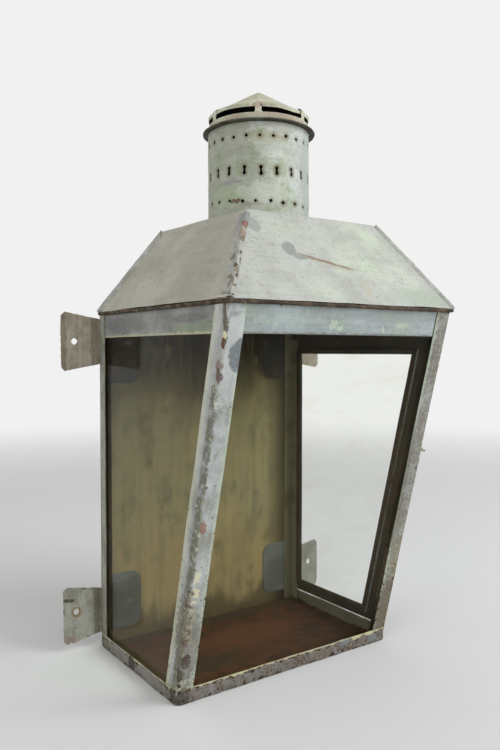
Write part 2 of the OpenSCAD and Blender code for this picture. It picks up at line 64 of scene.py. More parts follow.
postLow, postHigh = boxMm("front_left_post")
trayLow, trayHigh = boxMm("base_tray")
eaveLow, eaveHigh = boxMm("eave_frame")
tubeLow, tubeHigh = boxMm("chimney_tube")
halfWidth = -postLow.x
backY = boxMm("back_panel")[1].y
bodyHigh = postHigh.z
roofTop = boxMm("roof_top_plate")[1].z
headZ = tubeHigh.z
lean = (footEdge("front_left_post") - postLow.y) / (bodyHigh - postLow.z)   # of the slanted front
chimneyY = (tubeLow.y + tubeHigh.y) / 2
insideOf = (0, 20, 200)   # a point in the middle of the lantern
sideways, upright, backward = (1, 0, 0), (0, 0, 1), (0, 1, 0)
frontward = tuple(Vector((0, 1, lean)).normalized())   # square to the slanted front


# ---- shader maths ----

def linear(colour):   # three numbers are a colour as it is seen, 0 to 255; shaders take linear values
    if isinstance(colour, Field) or len(colour) == 4:
        return colour
    return (*[c / 255 / 12.92 if c < 11 else ((c / 255 + 0.055) / 1.055) ** 2.4 for c in colour], 1.0)


class Field:
    def __init__(self, tree, socket=None):
        self.tree = tree
        self.socket = socket

    def add(self, kind, settings=None, values=None, out=0):   # settings are made before sockets are filled
        node = self.tree.nodes.new("ShaderNode" + kind)
        for key, value in (settings or {}).items():
            if key == "stops":
                while len(node.color_ramp.elements) < len(value):
                    node.color_ramp.elements.new(0.5)
                for element, (place, colour) in zip(node.color_ramp.elements, value):
                    element.position = place
                    element.color = colour
            else:
                setattr(node, key, value)
        for key, value in (values or {}).items():
            if isinstance(value, Field):
                self.tree.links.new(value.socket, node.inputs[key])
            else:
                node.inputs[key].default_value = value
        return Field(self.tree, node.outputs[out] if node.outputs else None)

    def sum(self, operation, first, second):
        return self.add("Math", {"operation": operation}, {0: first, 1: second})

    def __add__(self, other):
        return self.sum("ADD", self, other)

    def __sub__(self, other):
        return self.sum("SUBTRACT", self, other)

    def __rsub__(self, other):
        return self.sum("SUBTRACT", other, self)

    def __mul__(self, other):
        return self.sum("MULTIPLY", self, other)

    def __truediv__(self, other):
        return self.sum("DIVIDE", self, other)

    __radd__ = __add__
    __rmul__ = __mul__

    def most(self, other):
        return self.sum("MAXIMUM", self, other)

    def ease(self, low, high):   # 0 at low, 1 at high, smooth between
        return self.add("MapRange", {"interpolation_type": "SMOOTHSTEP"},
                        {"Value": self, "From Min": low, "From Max": high})

    def vector(self, operation, other, out=0):
        return self.add("VectorMath", {"operation": operation}, {0: self, 1: other}, out)

    def part(self, axis):
        return self.add("SeparateXYZ", None, {0: self}, axis)

    def turned(self, axis, angle):
        return self.add("VectorRotate", {"rotation_type": "AXIS_ANGLE"},
                        {"Vector": self, "Axis": axis, "Angle": math.radians(angle)})

    def noise(self, size, detail=3, rough=0.55):   # size is one number, or one for each axis
        sizes = size if isinstance(size, tuple) else (size, size, size)
        place = self.vector("DIVIDE", sizes)
        values = {"Vector": place, "Scale": 1.0, "Detail": detail, "Roughness": rough}
        return place.add("TexNoise", None, values)

    def tint(self, other, factor):   # this colour, and the other where factor is 1
        return self.add("Mix", {"data_type": "RGBA"}, {0: factor, 6: self, 7: linear(other)}, 2)

    def colour(self, value):
        return self.add("Mix", {"data_type": "RGBA"}, {0: 0.0, 6: linear(value), 7: linear(value)}, 2)


def newMaterial(name):   # with its place in millimetres
    material = bpy.data.materials.new(name)
    material.use_nodes = True
    material.node_tree.nodes.clear()
    field = Field(material.node_tree)
    return material, field, field.add("TexCoord", None, None, 3).vector("DIVIDE", (mm, mm, mm))


def output(field, shader):
    field.add("OutputMaterial", None, {"Surface": shader})


def metalSurface(field, colour, roughness, height, relief, shine=0.4):
    bump = field.add("Bump", None, {"Height": height, "Strength": 1.0, "Distance": relief * mm})
    return field.add("BsdfPrincipled", None, {"Base Color": colour, "Roughness": roughness, "Normal": bump,
                                              "Specular IOR Level": shine})


# ---- finishes ----

rustDark, rustOrange = (44, 33, 24), (128, 92, 60)

paintDefaults = dict(
    light=(176, 180, 170), dark=(138, 138, 126), cloud=45, mottle=9, shade=0.5,
    strokes=(60, 60, 3), strokeAxis=(0, 0, 1), strokeAngle=0, strokeDepth=0.25, strokeLight=0.14,
    strokePale=(226, 230, 222), strokeDark=(84, 84, 76),
    wearWidth=3.0, wear=0.45, chipLevel=0.655, bareLight=(92, 78, 58), bareDark=(46, 37, 28),
    undercoat=(200, 196, 165), underWidth=0.035, underAmount=0.6,
    stain=(140, 128, 98), stainSize=30, stainAmount=0.25,
    fleckTone=(60, 56, 46), fleckShade=0.3, specks=0.35, speckSize=6.0,
    soot=(58, 53, 40), sootDark=(38, 35, 28), sootWarm=(86, 66, 46), heart=insideOf,
    foldWidth=13, foldFade=3, foldPale=(186, 202, 178), foldTear=16, band=None, halo=None,
    rough=0.55, relief=0.25, shine=0.2, warp=5.0, warpScale=0.16, lowWear=0.0, spots=())


def spotMask(place, tear, centre, radii, ragged):
    offset = place.vector("SUBTRACT", centre).vector("DIVIDE", radii)
    reach = offset.vector("LENGTH", (0, 0, 0), 1) + (tear - 0.5) * ragged
    return reach.ease(1.1, 0.9)


def foldDistance(place):   # from a front post's fold: above 0 along its side, below 0 along its front
    across = place.sum("ABSOLUTE", place.part(0), 0.0)
    return place.part(1) + place.part(2) * lean - (postLow.y + bodyHigh * lean) + across - halfWidth


def streak(start, end, count, radii, paintTone, amount, ragged, scatter=0.0):   # spots along a line
    line = [Vector(start).lerp(Vector(end), i / (count - 1)) for i in range(count)]
    line = [point + noise.noise_vector(point) * scatter for point in line]
    return tuple((tuple(point), radii, paintTone, amount, ragged) for point in line)


def agedPaint(name, **changes):
    look = {**paintDefaults, **changes}
    material, field, place = newMaterial(name)
    facing = field.add("TexCoord", None, None, 1)
    edge = field.add("Attribute", {"attribute_name": "edge"}, None, 2)
    cloud = place.noise(look["cloud"], 4)
    mottle = place.noise(look["mottle"], 5, 0.6)
    fleck = place.noise(3.4, 5, 0.65)
    grit = place.noise(1.3, 4, 0.6)
    tear = mottle * 0.5 + fleck * 0.5
    stroke = place.turned(look["strokeAxis"], look["strokeAngle"]).noise(look["strokes"], 4, 0.65)

    shade = (cloud * 0.65 + mottle * 0.35).ease(look["shade"] - 0.12, look["shade"] + 0.12)
    colour = field.colour(look["light"]).tint(look["dark"], shade)
    stained = place.noise(look["stainSize"], 4).ease(0.52, 0.72)
    colour = colour.tint(look["stain"], stained * look["stainAmount"])
    colour = colour.tint(look["strokePale"], stroke.ease(0.5, 0.72) * look["strokeLight"])
    colour = colour.tint(look["strokeDark"], stroke.ease(0.5, 0.3) * look["strokeLight"])
    colour = colour.tint(look["fleckTone"], fleck.ease(0.54, 0.7) * look["fleckShade"])
    # Beside a post's corner fold: a darker band of rust and painted shade on the corner's turn.
    if look["band"]:
        reach, bandTone, amount = look["band"]
        fromFold = foldDistance(place) + (tear - 0.5) * look["foldTear"]
        foldShadeAndRust = fromFold.ease(-3.0, -0.5) * fromFold.ease(reach + 1.5, reach - 1.5)
        colour = colour.tint(bandTone, foldShadeAndRust * (mottle.ease(0.35, 0.55) * 0.6 + 0.4) * amount)
        start, end = look["foldWidth"], look["foldWidth"] + look["foldFade"]
        colour = colour.tint(look["undercoat"], fromFold.ease(start, end) * 0.5)
        colour = colour.tint(look["foldPale"], fromFold.ease(-start, -end) * 0.5)
    if look["halo"]:
        reach, haloTone, amount = look["halo"]
        colour = colour.tint(haloTone, (edge + (tear - 0.5) * 4).ease(reach, 0.4) * amount)

    near = (1 - edge / look["wearWidth"]).most(0.0)
    level = fleck * 0.62 + mottle * 0.38 + near * (0.2 * look["wear"])
    if look["lowWear"]:
        level = level + place.part(2).ease(240, 20) * look["lowWear"]
    limit, soft = look["chipLevel"], 0.01
    chip = level.ease(limit - soft, limit + soft)
    under = level.ease(limit - look["underWidth"] - soft, limit - look["underWidth"] + soft)
    bare = field.colour(look["bareDark"]).tint(look["bareLight"], grit.ease(0.4, 0.62))
    colour = colour.tint(look["undercoat"], under * cloud.ease(0.4, 0.58) * look["underAmount"])
    colour = colour.tint(bare, chip)

    dots = place.add("TexVoronoi", None, {"Vector": place, "Scale": 1 / look["speckSize"], "Randomness": 1.0})
    specks = (dots + (grit - 0.5) * 0.12).ease(0.15, 0.09) * place.noise(25, 2).ease(0.46, 0.56)
    colour = colour.tint(rustDark, specks * look["specks"])

    if look["soot"]:   # faces that look into the lantern: soot, with painted shade of the lantern's dim inside
        inward = facing.vector("DOT_PRODUCT", place.vector("SUBTRACT", look["heart"]), 1).ease(0.5, -0.5)
        sootAndShadeTone = field.colour(look["soot"]).tint(look["sootDark"], cloud.ease(0.42, 0.6) * 0.7)
        sootAndShadeTone = sootAndShadeTone.tint(look["sootWarm"], mottle.ease(0.48, 0.7) * 0.6)
        colour = colour.tint(sootAndShadeTone, inward)

    if look["spots"]:
        bend = place.add("TexNoise", None, {"Vector": place, "Scale": look["warpScale"], "Detail": 3.0}, 1)
        bend = bend.vector("SUBTRACT", (0.5, 0.5, 0.5)).vector("MULTIPLY", (look["warp"],) * 3)
        bent = bend.vector("ADD", place)
    for centre, radii, paintTone, amount, ragged in look["spots"]:
        mask = spotMask(bent, tear, centre, radii, ragged)
        colour = colour.tint(paintTone, mask * grit.ease(0.2, 0.5) * amount)

    roughness = look["rough"] + mottle * 0.2 + chip * 0.15
    height = stroke * look["strokeDepth"] - chip * 0.7 - under * 0.2 + grit * 0.2
    output(field, metalSurface(field, colour, roughness, height, look["relief"], look["shine"]))
    return material


def rustyIron(name, light=(104, 84, 60), dark=(46, 36, 27), flake=(150, 140, 112), flakes=0.25,
              size=12, spots=()):
    material, field, place = newMaterial(name)
    broad = place.noise(size, 5, 0.65)
    grit = place.noise(1.5, 5, 0.65)
    colour = field.colour(dark).tint(light, (broad * 0.7 + grit * 0.3).ease(0.42, 0.62))
    colour = colour.tint(rustOrange, place.noise(6, 4).ease(0.6, 0.75) * 0.45)
    colour = colour.tint(flake, place.noise(size * 0.6, 5, 0.6).ease(0.62, 0.66) * flakes * 3)
    for centre, radii, paintTone, amount, ragged in spots:
        colour = colour.tint(paintTone, spotMask(place, broad, centre, radii, ragged) * amount)
    height = grit * 0.6 + broad * 0.4
    output(field, metalSurface(field, colour, 0.62 + grit * 0.3, height, 0.35))
    return material


def sootAndShadePanel(name):
    look = dict(top=(44, 40, 27), middle=(130, 122, 88), low=(138, 122, 84), streak=(104, 93, 64),
                green=(90, 90, 68), warm=(150, 134, 92), side=(54, 48, 33), foot=(58, 50, 34),
                outside=(112, 106, 94), outsideDark=(78, 72, 63), rust=(88, 70, 50), shine=0.06)
    material, field, place = newMaterial(name)
    broad = place.noise((38, 38, 90), 4)
    streak = place.noise((9, 9, 140), 4, 0.6)
    grit = place.noise(2.2, 4)
    climb = place.part(2) + (broad - 0.5) * 90
    colour = field.colour(look["low"]).tint(look["middle"], climb.ease(60, 150))
    # Darker towards the top: soot, and painted shade under the roof.
    colour = colour.tint(look["top"], climb.ease(215, 330))
    colour = colour.tint(look["streak"], streak.ease(0.42, 0.75) * 0.5)
    colour = colour.tint(look["rust"], place.noise(26, 4).ease(0.56, 0.72) * 0.5)
    colour = colour.tint(look["green"], place.noise((20, 20, 36), 5, 0.6).ease(0.5, 0.68) * 0.5)
    colour = colour.tint(look["warm"], place.noise((30, 30, 50), 5).ease(0.56, 0.7) * 0.35)
    # Darker towards the right end and towards the foot.
    colour = colour.tint(look["side"], place.part(0).ease(84, 116) * 0.75)
    colour = colour.tint(look["foot"], climb.ease(40, 12) * 0.7)
    outer = field.colour(look["outside"]).tint(look["rust"], place.noise(30, 6, 0.65).ease(0.38, 0.75))
    outer = outer.tint(look["outsideDark"], streak.ease(0.45, 0.8) * 0.6)
    colour = colour.tint(outer, place.part(1).ease(backY - 0.4, backY - 0.2))
    height = grit * 0.4 + streak * 0.5
    output(field, metalSurface(field, colour, 0.7 + grit * 0.25, height, 0.3, look["shine"]))
    return material


def oldGlass(name):
    look = dict(clear=(0.97, 0.98, 0.96, 1), dust=(0.88, 0.88, 0.80, 1), shadow=(0.92, 0.94, 0.92, 1),
                bending=1.1, wave=0.01, waveSize=90, spotSize=11.0)
    material, field, place = newMaterial(name)
    smear = place.noise((70, 70, 25), 4, 0.6)
    spots = place.add("TexVoronoi", None, {"Vector": place, "Scale": 1 / look["spotSize"]}).ease(0.1, 0.05)
    colour = field.colour(look["clear"]).tint(look["dust"], smear.ease(0.5, 0.75) * 0.5)
    wave = place.noise(look["waveSize"], 1)
    bump = field.add("Bump", None, {"Height": wave, "Strength": 1.0, "Distance": look["wave"] * mm})
    glass = field.add("BsdfPrincipled", None, {
        "Base Color": colour, "Roughness": spots * 0.03, "IOR": look["bending"], "Transmission Weight": 1.0,
        "Normal": bump})
    shadowRay = field.add("LightPath", None, None, 1)
    clear = field.add("BsdfTransparent", None, {"Color": look["shadow"]})
    output(field, field.add("MixShader", None, {0: shadowRay, 1: glass, 2: clear}))
    return material


# ---- mesh tools ----

def jitter(point, dents):
    move = Vector()
    for size, amount in dents:
        move += noise.noise_vector(point / size) * amount
    return move


def pointTree(points):
    tree = kdtree.KDTree(len(points))
    for i, point in enumerate(points):
        tree.insert(point, i)
    tree.balance()
    return tree


def meshOf(name, bm):
    mesh = bpy.data.meshes.new(name)
    bm.to_mesh(mesh)
    bm.free()
    return mesh


def newObject(name, data):
    made = bpy.data.objects.new(name, data)
    bpy.context.scene.collection.objects.link(made)
    return made


madePieces = []


def finishPiece(node, bm, material, edgePoints, dents, body="lantern_body", sharp=38):
    # Notes each point's distance from an arris, knocks the mesh about and puts it in the node's place.
    tree = pointTree(edgePoints)
    edge = [tree.find(v.co)[2] for v in bm.verts]
    for v in bm.verts:
        v.co += jitter(v.co, dents)
        v.co.z = max(v.co.z, 0.0)   # nothing sinks into the table
    bmesh.ops.recalc_face_normals(bm, faces=bm.faces)
    for v in bm.verts:
        v.co *= mm
    name = "".join(word.capitalize() for word in node.split("_"))
    mesh = meshOf(name, bm)
    mesh.attributes.new("edge", "FLOAT", "POINT").data.foreach_set("value", edge)
    mesh.polygons.foreach_set("use_smooth", [True] * len(mesh.polygons))
    mesh.set_sharp_from_angle(angle=math.radians(sharp))
    mesh.materials.append(material)
    piece = newObject(name, mesh)
    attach(piece, body)
    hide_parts(node)
    madePieces.append(piece)


def paintNodes(nodes, material):   # pieces that keep the frame's own mesh
    for node in nodes:
        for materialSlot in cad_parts[node].material_slots:
            materialSlot.material = material


def along(start, end, step):
    count = max(1, int((end - start).length / step))
    return [start.lerp(end, i / count) for i in range(count)]


def slices(bm, normal, low, high, count):
    for i in range(1, count):
        bmesh.ops.bisect_plane(bm, geom=bm.verts[:] + bm.edges[:] + bm.faces[:], dist=0.0005,
                               plane_co=normal * (low + (high - low) * i / count), plane_no=normal)


workLook = dict(merge=0.005, flat=0.6, arris=30, arrisStep=2.0, bevelSegments=2)


def workedNodes(nodes, material, cuts, dents, bevel=0.2, body="lantern_body", bend=None):
    # The frame's own sheets with their arrises taken off, sliced finely and knocked about.
    for node in nodes:
        bm = bmesh.new()
        bm.from_mesh(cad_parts[node].data)
        for v in bm.verts:
            v.co /= mm
        bmesh.ops.remove_doubles(bm, verts=bm.verts, dist=workLook["merge"])
        flat, bent = math.radians(workLook["flat"]), math.radians(workLook["arris"])
        bmesh.ops.dissolve_limit(bm, angle_limit=flat, verts=bm.verts, edges=bm.edges)
        arrises = [e for e in bm.edges if e.is_manifold and e.calc_face_angle(0) > bent]
        ends = [[v.co for v in e.verts] for e in arrises]
        edgePoints = [p for start, end in ends for p in along(start, end, workLook["arrisStep"])]
        bmesh.ops.bevel(bm, geom=arrises, offset=bevel, offset_type="OFFSET", affect="EDGES",
                        segments=workLook["bevelSegments"], profile=0.5, clamp_overlap=True)
        for direction, step in cuts:
            normal = Vector(direction).normalized()
            spans = [v.co.dot(normal) for v in bm.verts]
            low, high = min(spans), max(spans)
            slices(bm, normal, low, high, int((high - low) / step))
        for v in bm.verts if bend else ():
            v.co += bend(v.co)
        finishPiece(node, bm, material, edgePoints, dents, body)


def refined(loop, step, ragged):
    # Points every step along a loop of corners, moved in and out by a seeded amount.
    points = []
    for i, corner in enumerate(loop):
        points += along(Vector(corner), Vector(loop[(i + 1) % len(loop)]), step)
    centre = sum(points, Vector((0, 0))) / len(points)
    moved = []
    for point in points:
        shift = noise.noise_vector(Vector((point.x, point.y, centre.x)) / 4.0)
        moved.append(point + shift.xy * ragged)
    return moved


def isInside(point, loop):
    inside = False
    for i, a in enumerate(loop):
        b = loop[i - 1]
        if (a.y > point.y) != (b.y > point.y) and point.x < (b.x - a.x) * (point.y - a.y) / (b.y - a.y) + a.x:
            inside = not inside
    return inside


def cutPlate(outline, holes, spacing, place, thickness, outlineStep, ragged, holeStep=0.9):
    # A plate cut from sheet: the outline and holes are drawn flat, and place bends them into the room.
    outer = refined(outline, outlineStep, ragged)
    rims = [refined(hole, holeStep, ragged * 0.5) for hole in holes]
    points, edges = [], []
    for loop in [outer] + rims:
        first = len(points)
        points += loop
        edges += [(first + i, first + (i + 1) % len(loop)) for i in range(len(loop))]
    tree = pointTree([(p.x, p.y, 0) for p in points])
    low = Vector((min(p.x for p in outer), min(p.y for p in outer)))
    high = Vector((max(p.x for p in outer), max(p.y for p in outer)))
    grid = []
    rowStep = spacing * 0.87
    rows = int((high.y - low.y) / rowStep) + 1
    columns = int((high.x - low.x) / spacing) + 1
    for row in range(rows + 1):
        for column in range(columns + 1):
            point = Vector((low.x + (column + 0.5 * (row % 2)) * spacing, low.y + row * rowStep))
            if tree.find((point.x, point.y, 0))[2] > spacing * 0.45 and isInside(point, outer):
                grid.append(point)
    verts, _, faces, *_ = geometry.delaunay_2d_cdt(points + grid, edges, [], 0, 1e-5)
    centres = [(sum(rim, Vector((0, 0))) / len(rim)) for rim in rims]
    reaches = [max((p - centre).length for p in rim) for rim, centre in zip(rims, centres)]
    kept = []
    for face in faces:
        middle = sum((verts[i] for i in face), Vector((0, 0))) / len(face)
        inHole = any((middle - c).length < r and isInside(middle, rim)
                     for rim, c, r in zip(rims, centres, reaches))
        if not inHole and isInside(middle, outer):
            kept.append(face)
    bm = bmesh.new()
    front, back = [], []
    for v in verts:
        point, normal = place(v.x, v.y, tree.find((v.x, v.y, 0))[2])
        front.append(bm.verts.new(point))
        back.append(bm.verts.new(point - normal * thickness))
    for face in kept:
        bm.faces.new([front[i] for i in face])
        bm.faces.new([back[i] for i in reversed(face)])
    sides = dict.fromkeys((a, b) for face in kept for a, b in zip(face, face[1:] + face[:1]))
    for a, b in sides:
        if (b, a) not in sides:
            bm.faces.new([front[b], front[a], back[a], back[b]])
    bmesh.ops.delete(bm, geom=[v for v in bm.verts if not v.link_faces], context="VERTS")
    bmesh.ops.remove_doubles(bm, verts=bm.verts, dist=0.0005)
    return bm, [place(p.x, p.y, 0)[0] for p in points]


def bridge(bm, ring, following):   # a band of faces between two closed rings of points
    for i in range(len(ring)):
        j = (i + 1) % len(ring)
        bm.faces.new([ring[i], following[i], following[j], ring[j]])


def ringLoft(path, profile):
    # Rings of a closed profile, (outward, z), along a closed path of (point, outward normal).
    bm = bmesh.new()
    rings = [[bm.verts.new((point.x + normal.x * out, point.y + normal.y * out, z)) for out, z in profile]
             for point, normal in path]
    for ring, following in zip(rings, rings[1:] + rings[:1]):
        bridge(bm, ring, following)
    return bm, rings


def joinInto(bm, other):
    mesh = meshOf("joined", other)
    bm.from_mesh(mesh)
    bpy.data.meshes.remove(mesh)


def outwards(degrees):
    return Vector((math.cos(math.radians(degrees)), math.sin(math.radians(degrees))))


def roundedPath(low, high, radius, step):
    # Counterclockwise round a rectangle with round corners.
    corners = [(low.x + radius, low.y + radius, 180), (high.x - radius, low.y + radius, 270),
               (high.x - radius, high.y - radius, 0), (low.x + radius, high.y - radius, 90)]
    path = []
    turns = 6
    for i, (x, y, start) in enumerate(corners):
        for k in range(turns + 1):
            normal = outwards(start + 90 * k / turns)
            path.append((Vector((x, y)) + normal * radius, normal))
        nextX, nextY, nextStart = corners[(i + 1) % 4]
        normal = outwards(nextStart)
        end = Vector((nextX, nextY)) + normal * radius
        path += [(p, normal) for p in along(path[-1][0], end, step)[1:]]
    return path


def circlePath(radius, count):
    centre = Vector((0, chimneyY))
    return [(centre + outwards(360 * i / count) * radius, outwards(360 * i / count)) for i in range(count)]


bodyDents = ((75, 0.4), (16, 0.16), (4, 0.06))
roofDents = ((85, 1.1), (26, 0.4), (6, 0.08))
doorDents = ((70, 0.25), (12, 0.12), (4, 0.05))
flatDents = ((90, 0.12), (12, 0.08))


# ---- tray ----

trayLook = dict(cornerRadius=6.5, foldRadius=1.5, inset=5.5, sheet=1.0, step=4.0,
                slicesWide=18, slicesDeep=12)
cream, blueGrey = (206, 202, 160), (128, 134, 138)
trayPaint = agedPaint(
    "trayPaint", light=(132, 128, 124), dark=(96, 82, 72), cloud=14, mottle=5, wear=0.5, wearWidth=5,
    shine=0.1, chipLevel=0.575, undercoat=(180, 178, 164), strokeLight=0.1, soot=(80, 54, 35),
    sootDark=(50, 42, 28), sootWarm=(98, 62, 40), specks=0.9, fleckShade=0.6, spots=(
        # A cream line along the lip's top edge: a worn raw edge and a painted highlight.
        ((0, 0, 14.4), (900, 900, 1.3), (200, 196, 162), 0.9, 1.2),
        ((-60, 20, 1), (34, 16, 6), (50, 50, 34), 0.6, 2.6),
        ((90, -20, 1), (50, 14, 6), (58, 56, 40), 0.6, 2.6),
        ((0, 118, 1), (140, 9, 6), (60, 60, 42), 0.6, 2.4),
        ((-118, 60, 1), (10, 80, 6), (70, 66, 44), 0.6, 2.4),
        ((20, 60, 1), (60, 26, 6), (104, 66, 44), 0.5, 2.6),
        ((-63, -39, 13.6), (9, 4, 1.2), cream, 0.9, 0.8),
        ((72, -39, 11), (7, 4, 3), blueGrey, 0.8, 1.2),
        ((88, -39, 12.5), (8, 4, 2), cream, 0.8, 1.0),
        ((107, -39, 12.5), (6, 4, 2), cream, 0.9, 1.0),
        ((112, -39, 7), (7, 4, 4), blueGrey, 0.8, 1.2),
        ((-128, -36, 7), (10, 10, 12), (52, 48, 40), 0.7, 0.8),
        ((-132, 84, 8), (4, 26, 8), (148, 146, 138), 0.65, 1.6),
        ((-132, 10, 8), (4, 30, 8), (148, 146, 138), 0.6, 2.0),
        ((132, 46, 8), (3, 84, 8), (112, 110, 88), 0.8, 1.6),
        ((0, 127.6, 9), (128, 2.4, 6), (92, 90, 66), 0.6, 2.4),
        ((-132, 51, 8), (4, 7, 7), (54, 48, 40), 0.7, 1.8)))


def makeTray():
    look = trayLook
    sheet, fold, inset = look["sheet"], look["foldRadius"], look["inset"]
    lipTop = trayHigh.z
    path = roundedPath(trayLow.xy, trayHigh.xy, look["cornerRadius"], look["step"])
    profile = [(-sheet + 0.2, lipTop), (-0.2, lipTop), (0, lipTop - 0.3), (0, lipTop * 0.7),
               (0, lipTop * 0.45), (0, fold), (-0.3 * fold, 0.3 * fold), (-fold, 0), (-inset, 0),
               (-inset, sheet), (-fold - 0.8, sheet), (-sheet - 0.2, sheet + 0.6), (-sheet, fold + sheet),
               (-sheet, lipTop * 0.5), (-sheet, lipTop * 0.75), (-sheet, lipTop - 0.3)]
    bm, rings = ringLoft(path, profile)
    under, floor = 8, 9
    inner = [f for f in bm.faces if {v.co.z for v in f.verts} == {0.0, sheet}]   # between floor and underside
    bmesh.ops.delete(bm, geom=inner, context="FACES_ONLY")
    bm.faces.new([ring[floor] for ring in rings])
    bm.faces.new([ring[under] for ring in reversed(rings)])
    for direction, count in ((sideways, look["slicesWide"]), (backward, look["slicesDeep"])):
        normal = Vector(direction)
        slices(bm, normal, trayLow.dot(normal), trayHigh.dot(normal), count)
    edgePoints = [Vector((p.x, p.y, z)) for p, _ in path for z in (lipTop, 0)]
    finishPiece("base_tray", bm, trayPaint, edgePoints, ((40, 0.5), (8, 0.35), (3, 0.15)))


makeTray()
print("tray made")


# ---- back panel, posts, rails and beads ----

workedNodes(("back_panel",), sootAndShadePanel("sootAndShadeBack"), ((sideways, 9), (upright, 9)),
            flatDents, 0.15)

blueGreyPatch, creamChip, rustBrown = (116, 123, 126), (214, 210, 176), (96, 68, 52)
leftPostPaint = agedPaint(
    "leftPostPaint", light=(188, 192, 190), dark=(152, 156, 152), cloud=30, mottle=7,
    strokes=(5, 5, 70), strokeLight=0.2, wear=0.35, wearWidth=4, bareLight=(104, 90, 68),
    bareDark=(58, 48, 36), undercoat=(204, 206, 178), specks=0.9, lowWear=0.055, underWidth=0.05,
    underAmount=0.85, band=(9.5, (106, 105, 90), 0.85), spots=(
        # The first, paler patch high on the post is painted light laid over the eave's shadow.
        ((-122, -112, 316), (18, 16, 48), (200, 204, 204), 0.5, 2.0),
        ((-112, -114, 316), (13, 9, 15.5), blueGreyPatch, 1.0, 0.5),
        # The dark strip down the top of the corner is rust and painted shade on the corner's turn.
        ((-131.5, -118.5, 338), (3, 2.6, 26), (74, 66, 50), 0.8, 1.0),
        ((-131.5, -117.5, 333), (2.6, 2.2, 3.5), creamChip, 1.0, 1.0),
        ((-131.5, -116, 326), (3, 2.6, 5), rustBrown, 1.0, 1.2),
        ((-131.5, -109, 308), (3.5, 4, 5), (128, 108, 98), 0.8, 2.6),
        ((-131.5, -108, 300), (3.5, 3.6, 6), (92, 64, 54), 0.85, 2.8),
        ((-131.5, -104, 277), (2, 1.6, 1.6), creamChip, 1.0, 0.6),
        ((-112.5, -105, 283), (2.6, 4, 8), (196, 198, 150), 0.9, 1.0),
        ((-124, -90, 236), (4, 5, 8), (122, 124, 118), 0.5, 2.0),
        ((-127, -76, 170), (4, 4, 7), (140, 98, 76), 0.8, 2.4),
        *streak((-127, -66, 126), (-126, -50, 62), 10, (3.4, 3, 3.0), creamChip, 0.85, 4.6, 4.0),
        *streak((-129, -60, 110), (-127, -46, 48), 6, (3.0, 3, 4.0), rustBrown, 0.8, 4.0, 4.0),
        ((-128, -52, 46), (16, 16, 56), (106, 98, 82), 0.6, 2.6),
        ((-131, -42, 27), (5, 4, 8), (66, 58, 46), 0.8, 2.4),
        ((-126, -45, 42), (5, 3, 8), (72, 60, 46), 0.8, 2.8)))
rightPostPaint = agedPaint(
    "rightPostPaint", light=(158, 160, 154), dark=(122, 118, 110), cloud=20, mottle=5, strokes=(5, 5, 70),
    stain=(124, 104, 94), stainAmount=0.6, stainSize=9, wear=0.42, wearWidth=5, undercoat=(204, 206, 176),
    specks=0.9, lowWear=0.075, underWidth=0.05, underAmount=0.8, fleckShade=0.65,
    band=(6, (112, 108, 92), 0.6), spots=(
        ((128.6, -40, 50), (16, 16, 56), (102, 90, 70), 0.75, 2.6),
        ((116, -75, 180), (3, 30, 90), (96, 92, 78), 0.6, 2.4),
        ((128.6, -60, 100), (9, 9, 30), (140, 132, 108), 0.5, 2.4)))
frontPostCuts = ((upright, 3.2), (sideways, 2.6), (frontward, 2.6))
for node, paint in (("front_left_post", leftPostPaint), ("front_right_post", rightPostPaint)):
    workedNodes((node,), paint, frontPostCuts, bodyDents, 0.3)

rearPostPaint = agedPaint(
    "rearPostPaint", light=(160, 162, 152), dark=(124, 124, 114), strokes=(4, 4, 90), wear=0.4, specks=0.7,
    soot=(112, 108, 82), sootDark=(84, 82, 62), sootWarm=(104, 88, 62), lowWear=0.03, stain=(132, 140, 108),
    stainAmount=0.5, undercoat=(196, 198, 170))
workedNodes(("rear_left_post", "rear_right_post"), rearPostPaint,
            ((upright, 4), (backward, 3), (sideways, 3)), bodyDents, 0.25)

frontRailPaint = agedPaint(
    "frontRailPaint", light=(174, 184, 184), dark=(150, 158, 158), cloud=60, mottle=10, strokes=(60, 60, 4),
    wear=0.3, wearWidth=3, undercoat=(204, 214, 188), stain=(168, 186, 158), stainAmount=0.6, spots=(
        ((-18, -121, 343.6), (5, 9, 4.5), (200, 212, 188), 0.6, 4.0),
        ((-10, -121, 340), (4, 9, 2.4), (200, 212, 188), 0.6, 4.0),
        ((44, -121, 340), (2.5, 9, 4), (192, 206, 182), 0.6, 3.2),
        ((70, -121, 344), (8, 9, 3), (192, 206, 182), 0.5, 3.2),
        ((-60, -121, 346), (48, 9, 3), (176, 192, 176), 0.35, 3.0),
        ((0, -121, 334.4), (200, 9, 1.3), (84, 78, 64), 0.5, 3.4),
        ((60, -121, 352), (60, 9, 5), (156, 160, 160), 0.6, 2.4)))
workedNodes(("front_top_rail",), frontRailPaint, ((sideways, 3), (upright, 2.4)),
            bodyDents, 0.25)
leftRailPaint = agedPaint(
    "leftRailPaint", light=(152, 152, 149), dark=(124, 124, 122), cloud=36, mottle=12, strokes=(50, 50, 6),
    wear=0.25, wearWidth=3, undercoat=(190, 188, 164), stain=(150, 150, 136), stainAmount=0.6, spots=(
        ((-131, -80, 339), (9, 46, 6), (134, 152, 122), 0.6, 3.0),
        ((-131, -20, 334.6), (9, 150, 1.8), (186, 184, 154), 0.75, 2.6),
        ((-131, 66, 346), (9, 44, 8), (108, 108, 108), 0.6, 2.4),
        ((-131, -60, 348), (9, 30, 4), (104, 104, 102), 0.5, 2.6)))
workedNodes(("left_top_rail", "right_top_rail"), leftRailPaint,
            ((backward, 3), (upright, 2.4)), bodyDents, 0.25)

